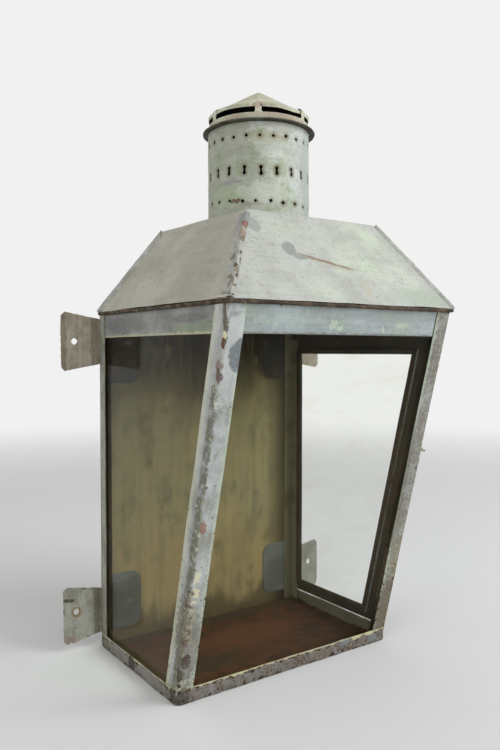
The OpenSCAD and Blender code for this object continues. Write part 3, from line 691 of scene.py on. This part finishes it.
beadPaint = agedPaint(
    "beadPaint", light=(62, 60, 52), dark=(40, 38, 31), wear=0.5, undercoat=(84, 78, 60),
    strokes=(4, 4, 60), soot=(44, 37, 25), stain=(80, 66, 44), stainAmount=0.5, shine=0.1)
workedNodes(("front_left_glass_bead", "front_right_glass_bead", "rear_left_glass_bead"),
            beadPaint, ((upright, 6), (frontward, 3)), bodyDents)
print("posts, rails and beads made")


# ---- glass ----

paintNodes(("front_glass", "left_glass", "door_glass"), oldGlass("oldGlass"))


# ---- eave ----

eaveLook = dict(height=eaveHigh.z - eaveLow.z, width=9.5, corner=1.2, step=3.0, lap=2.2,
                curlLong=27, curlHigh=2.8, curlTurn=150, curlRows=8, curlPoints=7, curlSheet=0.5)


def curledLip():   # a torn strip of the left hem, curled up at the front corner
    look = eaveLook
    bm = bmesh.new()
    rows, points = look["curlRows"], look["curlPoints"]
    turns = [math.radians(look["curlTurn"]) * i / (points - 1) for i in range(points)]
    section = [(look["curlSheet"], a) for a in turns] + [(0.0, a) for a in reversed(turns)]
    rings = []
    for row in range(rows + 1):
        t = row / rows
        y = eaveLow.y + 0.8 + t * look["curlLong"]
        radius = look["curlHigh"] * math.sin(math.pi * min(1, 0.35 + t * 0.65)) / 2
        rings.append([bm.verts.new((eaveLow.x + 0.7 - (radius + lift) * math.cos(a), y,
                                    eaveHigh.z + 0.9 + (radius + lift) * math.sin(a)))
                      for lift, a in section])
    for ring, following in zip(rings, rings[1:]):
        bridge(bm, ring, following)
    for ring in (rings[0], rings[-1]):
        for i in range(points - 1):
            bm.faces.new([ring[i], ring[i + 1], ring[-2 - i], ring[-1 - i]])
    return bm


def makeEave():
    low, high = eaveLow.z, eaveHigh.z
    nose, inner = eaveLook["height"] / 2, -eaveLook["width"]
    lap = -nose - eaveLook["lap"]
    profile = [(-nose + nose * math.cos(a), low + nose + nose * math.sin(a))
               for a in [math.radians(90 - 22.5 * k) for k in range(9)]]
    profile += [(inner, low), (inner, low + 1), (lap, low + 1), (lap + 0.6, low + nose), (lap, high - 1),
                (inner, high - 1), (inner, high)]
    path = roundedPath(eaveLow.xy, eaveHigh.xy, eaveLook["corner"], eaveLook["step"])
    bm, _ = ringLoft(path, profile)
    edgePoints = [Vector((p.x, p.y, low + nose)) for p, _ in path]
    joinInto(bm, curledLip())
    finishPiece("eave_frame", bm, eaveRust, edgePoints, ((60, 0.7), (14, 0.45), (5, 0.3)),
                sharp=50)


eaveRust = rustyIron(
    "eaveRust", light=(98, 82, 62), dark=(50, 41, 31), flakes=0.3, flake=(150, 142, 118), spots=(
        ((-133, -112, 364.2), (6, 18, 2.3), (204, 200, 186), 0.95, 0.6),))
makeEave()


# ---- roof ----

roofFrontPaint = agedPaint(
    "roofFrontPaint", warp=3.0, light=(192, 195, 187), dark=(176, 179, 171), cloud=50, mottle=14,
    strokes=(110, 110, 3.2), strokeLight=0.12, strokeDepth=0.35, wear=0.15, wearWidth=3,
    bareLight=(110, 92, 68), bareDark=(58, 46, 34), undercoat=(222, 214, 186), stain=(202, 214, 190),
    stainAmount=0.7, stainSize=60, specks=0.1, spots=(
        ((-51, -97, 409), (7, 7, 8), (144, 150, 146), 0.95, 1.5),
        ((-41, -101, 403), (9, 7, 3.4), (144, 150, 146), 0.95, 1.5),
        *streak((-40, -100, 405), (13, -107, 393), 8, (6, 8, 2.4), (176, 168, 154), 0.4, 1.4),
        *streak((-36, -100, 404), (14, -107, 395), 9, (5, 8, 1.5), (150, 132, 106), 0.5, 2.0),
        *streak((-30, -101, 403), (10, -107, 395.6), 11, (3.4, 8, 0.8), (124, 98, 72), 0.55, 1.8),
        ((24, -118, 377), (6, 8, 9), (188, 180, 154), 0.5, 2.2),
        ((90, -121, 371), (40, 12, 12), (168, 184, 162), 0.4, 1.8),
        ((-80, -84, 430), (7, 7, 9), (154, 156, 152), 0.9, 1.6)))
roofSidePaint = agedPaint(
    "roofSidePaint", light=(184, 182, 170), dark=(168, 164, 150), cloud=70, mottle=24, strokes=(60, 60, 7),
    strokeLight=0.09, specks=0.12, strokeDepth=0.3, wear=0.12, wearWidth=3, undercoat=(196, 192, 170),
    stain=(162, 154, 136), stainAmount=0.5, stainSize=80)
roofSlices = ((sideways, 7), (backward, 7), (upright, 6))
for node, paint in (("roof_front_panel", roofFrontPaint), ("roof_back_panel", roofSidePaint),
                    ("roof_left_panel", roofSidePaint), ("roof_right_panel", roofSidePaint)):
    workedNodes((node,), paint, roofSlices, roofDents)
seamPaint = agedPaint(
    "seamPaint", light=(186, 188, 180), dark=(158, 159, 151), cloud=24, mottle=7, wear=0.15, wearWidth=3,
    undercoat=(206, 202, 184), bareLight=(132, 114, 90), bareDark=(92, 78, 58), specks=0.6, soot=None,
    spots=(
        ((-84, -81, 434), (8, 8, 9), (140, 142, 138), 0.9, 1.2),
        ((-88, -86, 426), (5, 5, 7), (138, 92, 74), 0.85, 1.8),
        ((-95, -92, 417), (5, 5, 8), (156, 120, 100), 0.7, 2.0),
        *streak((-100, -97, 411), (-131, -124, 365), 10, (3.4, 3.4, 3.0), (122, 106, 84), 0.8, 5.0, 9.0),
        *streak((-104, -103, 402), (-129, -126, 367), 7, (2.6, 2.6, 2.8), (84, 68, 50), 0.9, 5.0, 8.0),
        # The last, near-black dot is painted shade in the gap under the curled lip.
        ((-130, -125, 363.5), (2.2, 2.2, 2.4), (26, 22, 16), 1.0, 1.2)))
seams = [f"{corner}_hip_seam" for corner in ("front_left", "front_right", "rear_left", "rear_right")]
workedNodes(seams, seamPaint, ((upright, 2.2), (sideways, 4)), roofDents[:2] + ((5, 0.25),))
workedNodes(("roof_top_plate",), roofFrontPaint, ((sideways, 8), (backward, 8)), roofDents)
print("roof made")


# ---- chimney ----

tubeLook = dict(radius=52.5, wall=0.9, foot=4.0, spacing=3.6, dimple=0.7, dimpleReach=2.6, footSegments=96,
                seamTurn=62, lap=5.0, lapLift=0.9, outlineStep=2.4, ragged=0.15,
                upperHoles=24, upperZ=headZ - 15.5, upperTurn=-124.5,
                slots=20, slotZ=headZ - 49, slotTurn=-124, slotHigh=9.6, slotRadius=1.85, slotWaist=1.3,
                holePoints=9, lowerHoles=23, lowerZ=headZ - 79, lowerTurn=-128.5, holeRadius=1.7)
chimneyPaint = agedPaint(
    "chimneyPaint", light=(204, 209, 199), dark=(180, 183, 171), cloud=30, strokes=(34, 34, 3),
    strokeLight=0.22, strokeDepth=0.3, wear=0.2, wearWidth=2.0, bareLight=(104, 84, 60),
    bareDark=(52, 42, 32), undercoat=(200, 206, 186), stain=(150, 164, 130), stainAmount=0.8, stainSize=26,
    # The inside is near black: soot, and painted shade inside the tube.
    specks=0.3, soot=(24, 21, 17), sootDark=(16, 14, 11), sootWarm=(34, 27, 20), warp=9,
    halo=(3.6, (112, 98, 68), 0.6), spots=(
        ((-58, 10, 500), (34, 60, 70), (138, 143, 122), 0.6, 2.4),
        # The next two darker spots on the right flank are painted shade where the tube turns away.
        ((40, -22, 500), (26, 26, 70), (158, 162, 154), 0.6, 2.0),
        ((54, 8, 500), (18, 50, 90), (152, 156, 146), 0.6, 2.0),
        ((-30, -30, 474), (34, 30, 9), (208, 214, 200), 0.5, 2.4),
        ((-50, 2, 472), (14, 26, 10), (172, 186, 156), 0.5, 2.6),
        ((40, -40, 500), (40, 40, 60), (186, 196, 194), 0.35, 2.4),
        ((-48, -3, headZ - 59), (10, 13, 2.6), (142, 138, 142), 0.6, 2.2),
        ((-46.5, -6.6, headZ - 78), (6, 7, 2.6), (104, 80, 66), 0.9, 1.4),
        ((-28, -30, headZ - 17), (24, 20, 6), (150, 144, 110), 0.4, 2.4)))


def roundHole(u, v, radius, count, wobble):
    turn = random.random() * math.pi
    return [(u + radius * (1 + wobble * math.sin(2 * a + turn)) * math.cos(a),
             v + radius * (1 - wobble * math.sin(2 * a + turn)) * math.sin(a))
            for a in (2 * math.pi * k / count for k in range(count))]


def punchedSlot(u, v, high, radius, waist):   # two punched holes joined by a narrower cut
    drop = high / 2 - radius
    offset = random.uniform(-0.5, 0.5)
    opening = math.asin(waist / radius)
    steps = 10
    sweep = [opening + (2 * math.pi - 2 * opening) * k / steps for k in range(steps + 1)]
    upper = [(u + radius * math.sin(a - math.pi), v + drop + radius * math.cos(a - math.pi)) for a in sweep]
    lower = [(u + offset + radius * math.sin(a), v - drop + radius * math.cos(a)) for a in sweep]
    return upper + lower


def makeTube():
    random.seed(4)
    look = tubeLook
    radius, wall, flange, lap = look["radius"], look["wall"], look["foot"], look["lap"]
    around = 2 * math.pi * radius
    seamAt = math.radians(look["seamTurn"])   # the tube's lap, towards the back

    def spread(angle):   # degrees round the chimney to a length along the flat sheet
        return (math.radians(angle) - seamAt) % (2 * math.pi) * radius

    def tilt(turn):   # the lower rows climb a little towards the left
        return math.cos(math.radians(turn + 20))

    holes = []
    for i in range(look["upperHoles"]):
        turn = look["upperTurn"] + i * 360 / look["upperHoles"]
        holes.append(roundHole(spread(turn), look["upperZ"] + random.uniform(-0.4, 0.4),
                               look["holeRadius"] * random.uniform(0.85, 1.1), look["holePoints"], 0.12))
    for i in range(look["lowerHoles"]):
        turn = look["lowerTurn"] + i * 360 / look["lowerHoles"] + random.uniform(-0.8, 0.8)
        holes.append(roundHole(spread(turn), look["lowerZ"] - tilt(turn) * 2 + random.uniform(-0.6, 0.6),
                               look["holeRadius"] * random.uniform(0.8, 1.1), look["holePoints"], 0.15))
    for i in range(look["slots"]):
        turn = look["slotTurn"] + i * 360 / look["slots"] + random.uniform(-0.6, 0.6)
        holes.append(punchedSlot(spread(turn), look["slotZ"] - tilt(turn) + random.uniform(-0.4, 0.4),
                                 look["slotHigh"] * random.uniform(0.85, 1.05),
                                 look["slotRadius"], look["slotWaist"] * random.uniform(0.7, 1.2)))
    holes = [h for h in holes if min(p[0] for p in h) > 1 and max(p[0] for p in h) < around + lap - 1]
    low = roofTop - 1.0
    end = around + lap

    def place(u, v, edge):
        angle = seamAt + u / radius
        lift = look["lapLift"] * max(0.0, min(1.0, (u - around + 1.5) / 3.0))   # the end laps over the start
        dip = look["dimple"] * math.exp(-(edge / look["dimpleReach"]) ** 2) if low + 3 < v < headZ - 3 else 0
        normal = Vector((math.cos(angle), math.sin(angle), 0))
        out = radius + lift - dip
        return Vector((0, chimneyY, v)) + normal * out, normal

    bm, rim = cutPlate([(0, low), (end, low), (end, headZ), (0, headZ)], holes, look["spacing"], place, wall,
                       look["outlineStep"], look["ragged"])
    foot, _ = ringLoft(circlePath(radius, look["footSegments"]), [
        (0, low), (flange, low - 0.1), (flange, low - wall), (-wall, low - wall), (-wall, low)])
    joinInto(bm, foot)
    finishPiece("chimney_tube", bm, chimneyPaint, rim, ((70, 0.6), (16, 0.25), (4, 0.08)))


makeTube()

collarHigh = boxMm("chimney_foot_collar")[1]
ringLow, ringHigh = boxMm("chimney_head_ring")
bandLow, bandHigh = boxMm("crown_collar")
capLow, capHigh = boxMm("crown_cap")
crownLook = dict(segments=120, play=0.2, bandWall=0.9, spacing=2.2, outlineStep=1.4, ragged=0.12,
                 beadHigh=1.0, beadOut=1.05, legs=6, legTurn=54, legWide=6.5, windowLow=headZ + 7, tab=7.0,
                 ribLift=0.5, dish=1.2, sheet=0.9, lipUp=0.5, lipDown=1.7, sag=1.1, sagTurn=275,
                 farTurn=54, farSag=3.2, farSill=1.2, capRows=14, capColumns=96)
bandRadius = bandHigh.x - crownLook["beadOut"]


def makeRing(node, paint, rimRadius, rimZ, profile, dents):
    inner, count = tubeLook["radius"] + crownLook["play"], crownLook["segments"]
    bm, _ = ringLoft(circlePath(inner, count), profile)
    rim = [Vector((p.x, p.y, rimZ)) for p, _ in circlePath(rimRadius, count)]
    finishPiece(node, bm, paint, rim, dents)


def makeRings():
    inner = tubeLook["radius"] + crownLook["play"]
    flare = collarHigh.x - inner
    profile = [(0, roofTop), (flare - 0.3, roofTop), (flare, roofTop + 0.5), (flare - 0.6, roofTop + 1.0),
               (flare * 0.45, roofTop + 1.5), (1.6, roofTop + 2.6), (1.0, collarHigh.z - 0.4),
               (0.6, collarHigh.z), (0, collarHigh.z)]
    makeRing("chimney_foot_collar", chimneyPaint, collarHigh.x, roofTop, profile,
             ((30, 0.5), (7, 0.3)))
    low, high = ringLow.z, ringHigh.z
    nose = (high - low) / 2
    bulge = ringHigh.x - inner - nose
    profile = [(0, low), (bulge, low)]
    profile += [(bulge + nose * math.cos(a), low + nose + nose * math.sin(a))
                for a in (math.radians(-60 + 30 * k) for k in range(5))]
    profile += [(bulge, high), (0, high)]
    makeRing("chimney_head_ring", ringShadePaint, ringHigh.x, low + nose, profile,
             ((50, 0.5), (10, 0.3)))


# The ring is painted dark: painted shade of the rolled ring's underside.
ringShadePaint = agedPaint(
    "ringShadePaint", light=(96, 100, 86), dark=(60, 60, 48), cloud=20, mottle=6, wear=0.6,
    undercoat=(120, 122, 104), soot=(70, 70, 58), strokeLight=0.05)
makeRings()


def fromLeg(angle):   # 0 at a leg, 1 in the middle of a window
    return abs((math.degrees(angle) - crownLook["legTurn"] + 30) % 60 - 30) / 30


def farSide(angle):   # 1 at the side away from the front left, where the windows are nearly shut
    return max(0.0, math.cos(angle - math.radians(crownLook["farTurn"])))


def crownRim(angle):   # the cap's reach: short at the legs, bowed out between them
    return bandRadius - 1.1 + 1.9 * (1 - (1 - fromLeg(angle)) ** 2)


def makeCrownCollar():
    look = crownLook
    radius = bandRadius
    around = 2 * math.pi * radius
    half = look["legWide"] / 2
    pitch = around / look["legs"]
    start = math.radians(look["legTurn"] + 30)   # the seam is in the middle of a window
    low, high, sill, tab = bandLow.z, bandHigh.z + 0.6, look["windowLow"], look["tab"]
    leg = [(half + 1, sill), (half, sill + 1), (half, high), (half * 0.8, high + tab - 1), (0, high + tab),
           (-half * 0.8, high + tab - 1), (-half, high), (-half, sill + 1), (-half - 1, sill)]
    outline = [(0, low), (around, low), (around, sill)]
    for i in reversed(range(look["legs"])):
        outline += [(pitch * (i + 0.5) + u, v) for u, v in leg]
    outline.append((0, sill))
    slope = math.atan2(capHigh.z - bandHigh.z, radius)

    def place(u, v, edge):   # above high the legs fold over the cap
        angle = start + u / radius
        past = max(0.0, v - high)
        fold = min(past / 2.0, 1.0) * (math.pi / 2 - slope)
        normal = Vector((math.cos(angle) * math.cos(fold), math.sin(angle) * math.cos(fold), math.sin(fold)))
        out = radius + 0.3 * min(past, 1) - max(0.0, past - 0.8) * math.cos(slope)
        lift = look["farSill"] * farSide(angle) * max(0.0, 1 - abs(v - sill) / 3)
        z = min(v, high) + lift + 0.6 * min(past, 1) + max(0.0, past - 0.8) * math.sin(slope)
        return Vector((math.cos(angle) * out, math.sin(angle) * out + chimneyY, z)), normal

    bm, rim = cutPlate(outline, [], look["spacing"], place, look["bandWall"], look["outlineStep"],
                       look["ragged"])
    beadOut, beadHigh = look["beadOut"], look["beadHigh"]
    bead, _ = ringLoft(circlePath(radius, look["segments"]), [
        (-0.2, headZ), (0.8, headZ + 0.02), (beadOut, headZ + 0.5), (0.8, headZ + 0.95),
        (-0.2, headZ + beadHigh)])
    joinInto(bm, bead)
    finishPiece("crown_collar", bm, crownPaint, rim, ((50, 0.4), (9, 0.2)))


def makeCrownCap():
    # A low cone of sheet, dished between its ribs, with a thick rolled rim that bows out between the legs.
    look = crownLook
    low, tip = capLow.z, capHigh.z
    rows, columns = look["capRows"], look["capColumns"]
    bm = bmesh.new()

    def surface(row, column, under):
        t = row / rows
        angle = 2 * math.pi * column / columns
        between = fromLeg(angle)
        out = crownRim(angle) * (1 - t) + 1.5 * t
        dish = look["dish"] * between * math.sin(math.pi * min(1, t + 0.1)) * (1 - t)
        rib = look["ribLift"] * max(0.0, 0.25 - between) * 4
        sag = look["sag"] * math.exp(-((math.degrees(angle) - look["sagTurn"]) / 12) ** 2) * (1 - t) ** 3
        sag += look["farSag"] * farSide(angle) ** 0.5 * min(1.0, between * 2.2) * (1 - t) ** 4
        z = low + (tip - low) * t - dish + rib * (1 - t) + look["lipUp"] * (1 - t) ** 6 - sag
        if under:
            z -= look["sheet"] + (look["lipUp"] + look["lipDown"]) * (1 - t) ** 12
            out -= 0.5
        return Vector((math.cos(angle) * out, math.sin(angle) * out + chimneyY, z))

    edges = []
    for under in (False, True):
        grid = [[bm.verts.new(surface(row, column, under)) for column in range(columns)]
                for row in range(rows + 1)]
        for ring, following in zip(grid, grid[1:]):
            bridge(bm, ring, following)
        bm.faces.new(grid[rows])
        edges.append(grid[0])
    bridge(bm, *edges)
    rim = [v.co.copy() for v in edges[0]]
    finishPiece("crown_cap", bm, crownPaint, rim, ((30, 0.5), (8, 0.25)))


crownPaint = agedPaint(
    "crownPaint", light=(206, 206, 184), dark=(176, 174, 152), cloud=20, mottle=8, wear=0.3,
    # The underside is near black: soot, and painted shade under the cap.
    undercoat=(206, 190, 170), stain=(150, 148, 120), stainAmount=0.6, soot=(14, 12, 9),
    sootDark=(10, 9, 7), sootWarm=(20, 16, 11), heart=(0, chimneyY, headZ), spots=(
        ((-31, -23, 562), (5, 5, 5), (172, 150, 132), 0.7, 1.8),
        ((-20, -25, 550), (60, 40, 2.4), (176, 160, 144), 0.5, 2.0)))
makeCrownCollar()
makeCrownCap()
print("chimney and crown made")


# ---- wall ears and patches ----

earLook = dict(rootX=104.5, innerHalf=24, outerHalf=31, clip=4, thickness=1.2,
               holeRadius=3.3, holeInset=14.5, holeLift=3.5, holePoints=20, wobble=0.03,
               holeStep=1.0, spacing=3.4, outlineStep=1.8, ragged=0.45, curl=1.3, curlStart=6, curlLong=38)
upperEarPaint = agedPaint(
    "upperEarPaint", light=(178, 170, 152), dark=(150, 142, 126), cloud=18, mottle=6, strokes=(4, 4, 40),
    strokeLight=0.2, wear=0.4, wearWidth=4, bareLight=(96, 84, 62), bareDark=(66, 56, 42),
    undercoat=(160, 152, 126), soot=None, specks=0.8, spots=(
        # The first strip, by the body, is painted shade where the ear bends back behind the panel.
        ((-137, 127, 330), (5, 9, 60), (104, 96, 78), 0.5, 2.4),
        ((-172, 127, 330), (3, 9, 60), (112, 104, 86), 0.6, 2.4)))
lowerEarPaint = agedPaint(
    "lowerEarPaint", light=(158, 157, 147), dark=(132, 129, 118), cloud=22, mottle=7, strokes=(6, 6, 30),
    strokeLight=0.16, wearWidth=4, bareLight=(96, 82, 62), bareDark=(52, 44, 34),
    undercoat=(184, 182, 166), soot=None, specks=0.9, spots=(
        ((-160, 127, 42.5), (6, 9, 6), (128, 100, 60), 0.7, 1.4),
        ((-166, 127, 13), (6, 9, 5), (136, 110, 96), 0.6, 2.8),
        ((-168, 127, 56), (6, 9, 1.8), (52, 48, 42), 0.9, 3.2),
        # The last strip, by the body, is painted shade where the ear bends back behind the panel.
        ((-137, 127, 39), (4, 9, 40), (96, 86, 66), 0.6, 2.4)))


def makeEar(node, side, paint):
    look = earLook
    low, high = boxMm(node)
    middle, clip, inner, outer = (low.z + high.z) / 2, look["clip"], look["innerHalf"], look["outerHalf"]
    tip = max(abs(low.x), abs(high.x))
    isLower = "lower" in node
    outline = [(look["rootX"], middle - inner), (halfWidth, middle - inner),
               (tip - clip, middle - outer), (tip, middle - outer + clip),
               (tip, middle + outer - clip), (tip - clip, middle + outer),
               (halfWidth, middle + inner), (look["rootX"], middle + inner)]
    if isLower:   # the lower corner is torn off
        outline[2:4] = [(tip - 11, low.z + 1.5), (tip - 8, low.z + 3), (tip - 5, low.z + 1),
                        (tip - 1, low.z + 4), (tip - 0.5, low.z + 9)]
    curlFrom = halfWidth + look["curlStart"]

    def place(u, v, edge):
        reach = (u - curlFrom) / look["curlLong"]
        curl = 0.0 if u < curlFrom else -look["curl"] * reach ** 2 * math.sin(v / 21.0)
        return Vector((side * u, high.y - look["thickness"] + min(curl, 0), v)), Vector((0, -1, 0))

    holeZ = middle + (look["holeLift"] if isLower else 0)
    hole = roundHole(tip - look["holeInset"], holeZ, look["holeRadius"], look["holePoints"], look["wobble"])
    bm, rim = cutPlate(outline, [hole], look["spacing"], place, look["thickness"], look["outlineStep"],
                       look["ragged"], look["holeStep"])
    finishPiece(node, bm, paint, rim, ((60, 0.2), (10, 0.2), (3, 0.08)))


for side, word in ((-1, "left"), (1, "right")):
    makeEar(f"upper_{word}_ear", side, upperEarPaint)
    makeEar(f"lower_{word}_ear", side, lowerEarPaint)

upperPatchPaint = agedPaint(
    "upperPatchPaint", light=(62, 60, 52), dark=(48, 46, 38), soot=(56, 54, 46), wear=0.2,
    undercoat=(76, 72, 60))
lowerPatchPaint = agedPaint(
    "lowerPatchPaint", light=(104, 108, 104), dark=(84, 86, 80), soot=(96, 98, 92), sootDark=(74, 74, 66),
    sootWarm=(90, 84, 68), shine=0.1, wear=0.2, undercoat=(112, 112, 100))
for side in ("left", "right"):
    for level, paint in (("upper", upperPatchPaint), ("lower", lowerPatchPaint)):
        workedNodes((f"{level}_{side}_patch",), paint, ((upright, 4), (sideways, 4)),
                    flatDents, 0.25)
print("ears and patches made")


# ---- door, hinge and catch ----

doorPaint = agedPaint(
    "doorPaint", light=(150, 150, 140), dark=(112, 110, 98), strokes=(5, 5, 60), wear=0.55, wearWidth=4,
    undercoat=(192, 192, 168), soot=(66, 60, 44), sootDark=(48, 44, 33), sootWarm=(84, 62, 40), shine=0.1,
    stain=(120, 122, 98), stainAmount=0.5, spots=(
        ((128, -60, 170), (8, 60, 70), (88, 74, 56), 0.4, 3.4),))
workedNodes(("door_front_stile", "door_rear_stile"), doorPaint,
            ((upright, 3.4), (frontward, 3.5)), doorDents, body="side_door")
workedNodes(("door_top_rail", "door_bottom_rail"), doorPaint, ((backward, 3.4), (upright, 3.4)),
            doorDents, body="side_door")
ironWire = rustyIron("wireRust", light=(100, 88, 70), dark=(54, 45, 36), flakes=0.1, size=5)
paintNodes(("upper_hinge_knuckle", "lower_hinge_knuckle", "hinge_wire", "catch_rivet"), ironWire)
catchPaint = agedPaint(
    "catchPaint", light=(184, 186, 172), dark=(140, 138, 122), wear=0.7, wearWidth=2.5, mottle=4,
    soot=(120, 112, 90), undercoat=(206, 206, 180))
catchLook = dict(stiff=5.0, spring=0.14)
rivetLow, rivetHigh = boxMm("catch_rivet")
rivet = (rivetLow + rivetHigh) / 2


def sprungArm(point):   # past the rivet's head the arm stands off the post
    past = (point.yz - rivet.yz).length - catchLook["stiff"]
    return Vector((max(0.0, past) * catchLook["spring"], 0, 0))


workedNodes(("turn_catch",), catchPaint, ((upright, 2),), ((6, 0.1),), 0.15,
            "turn_catch", sprungArm)
print("door, hinge and catch made")


# ---- floor, light and camera ----

stageLook = dict(radius=30.0, segments=96, nearPale=0.80, farPale=0.88, fadeFrom=900, fadeTo=2600)
lightLook = dict(sky=0.56, lamps=dict(
    window=dict(place=(1.2, -1.5, 1.5), size=1.5, power=29, colour=(0.96, 0.98, 1.0)),
    fill=dict(place=(-1.8, -0.9, 1.2), size=1.2, power=7, colour=(1.0, 0.99, 0.96))))
lampAim = Vector((0, 0, 0.3))


def makeFloor():
    bm = bmesh.new()
    bmesh.ops.create_circle(bm, cap_ends=True, radius=stageLook["radius"], segments=stageLook["segments"])
    floor = newObject("floor", meshOf("floor", bm))
    material, field, place = newMaterial("floorPaint")
    far = place.vector("LENGTH", (0, 0, 0), 1).ease(stageLook["fadeFrom"], stageLook["fadeTo"])
    pale, glow = stageLook["nearPale"], stageLook["farPale"]
    near = field.add("BsdfDiffuse", None, {"Color": (pale, pale, pale, 1)})
    away = field.add("Emission", None, {"Color": (1, 1, 1, 1), "Strength": glow})
    output(field, field.add("MixShader", None, {0: far, 1: near, 2: away}))
    floor.data.materials.append(material)


makeFloor()


def makeWorld():
    world = bpy.data.worlds.new("room")
    bpy.context.scene.world = world
    world.use_nodes = True
    world.node_tree.nodes.clear()
    field = Field(world.node_tree)
    seen = field.add("LightPath", None, None, 0)   # by the camera, in gloss and through glass
    seen = seen.most(field.add("LightPath", None, None, 3)).most(field.add("LightPath", None, None, 6))
    glow = stageLook["farPale"]
    strength = seen * (glow - lightLook["sky"]) + lightLook["sky"]
    back = field.add("Background", None, {"Color": (1, 1, 1, 1), "Strength": strength})
    field.add("OutputWorld", None, {"Surface": back})


def makeLamps():
    for name, look in lightLook["lamps"].items():
        lamp = bpy.data.lights.new(name, "AREA")
        lamp.size = look["size"]
        lamp.energy = look["power"]
        lamp.color = look["colour"]
        holder = newObject(name, lamp)
        holder.location = look["place"]
        holder.rotation_euler = (lampAim - Vector(look["place"])).to_track_quat("-Z", "Y").to_euler()


makeWorld()
makeLamps()

cameraLook = dict(place=(-441.26, -592.61, 319.65), azimuth=35.161, down=1.903, lens=34.254,
                  sensor=36, near=0.01)
camera = bpy.data.cameras.new("camera")
camera.lens = cameraLook["lens"]
camera.sensor_width = cameraLook["sensor"]
camera.clip_start = cameraLook["near"]
cameraHolder = newObject("camera", camera)
cameraHolder.location = Vector(cameraLook["place"]) * mm
azimuth, down = math.radians(cameraLook["azimuth"]), math.radians(cameraLook["down"])
forward = Vector((math.sin(azimuth) * math.cos(down), math.cos(azimuth) * math.cos(down), -math.sin(down)))
cameraHolder.rotation_euler = forward.to_track_quat("-Z", "Y").to_euler()
bpy.context.scene.camera = cameraHolder
bpy.context.scene.view_settings.view_transform = "Standard"
print("stage, light and camera set")

print("pieces made:", len(madePieces))
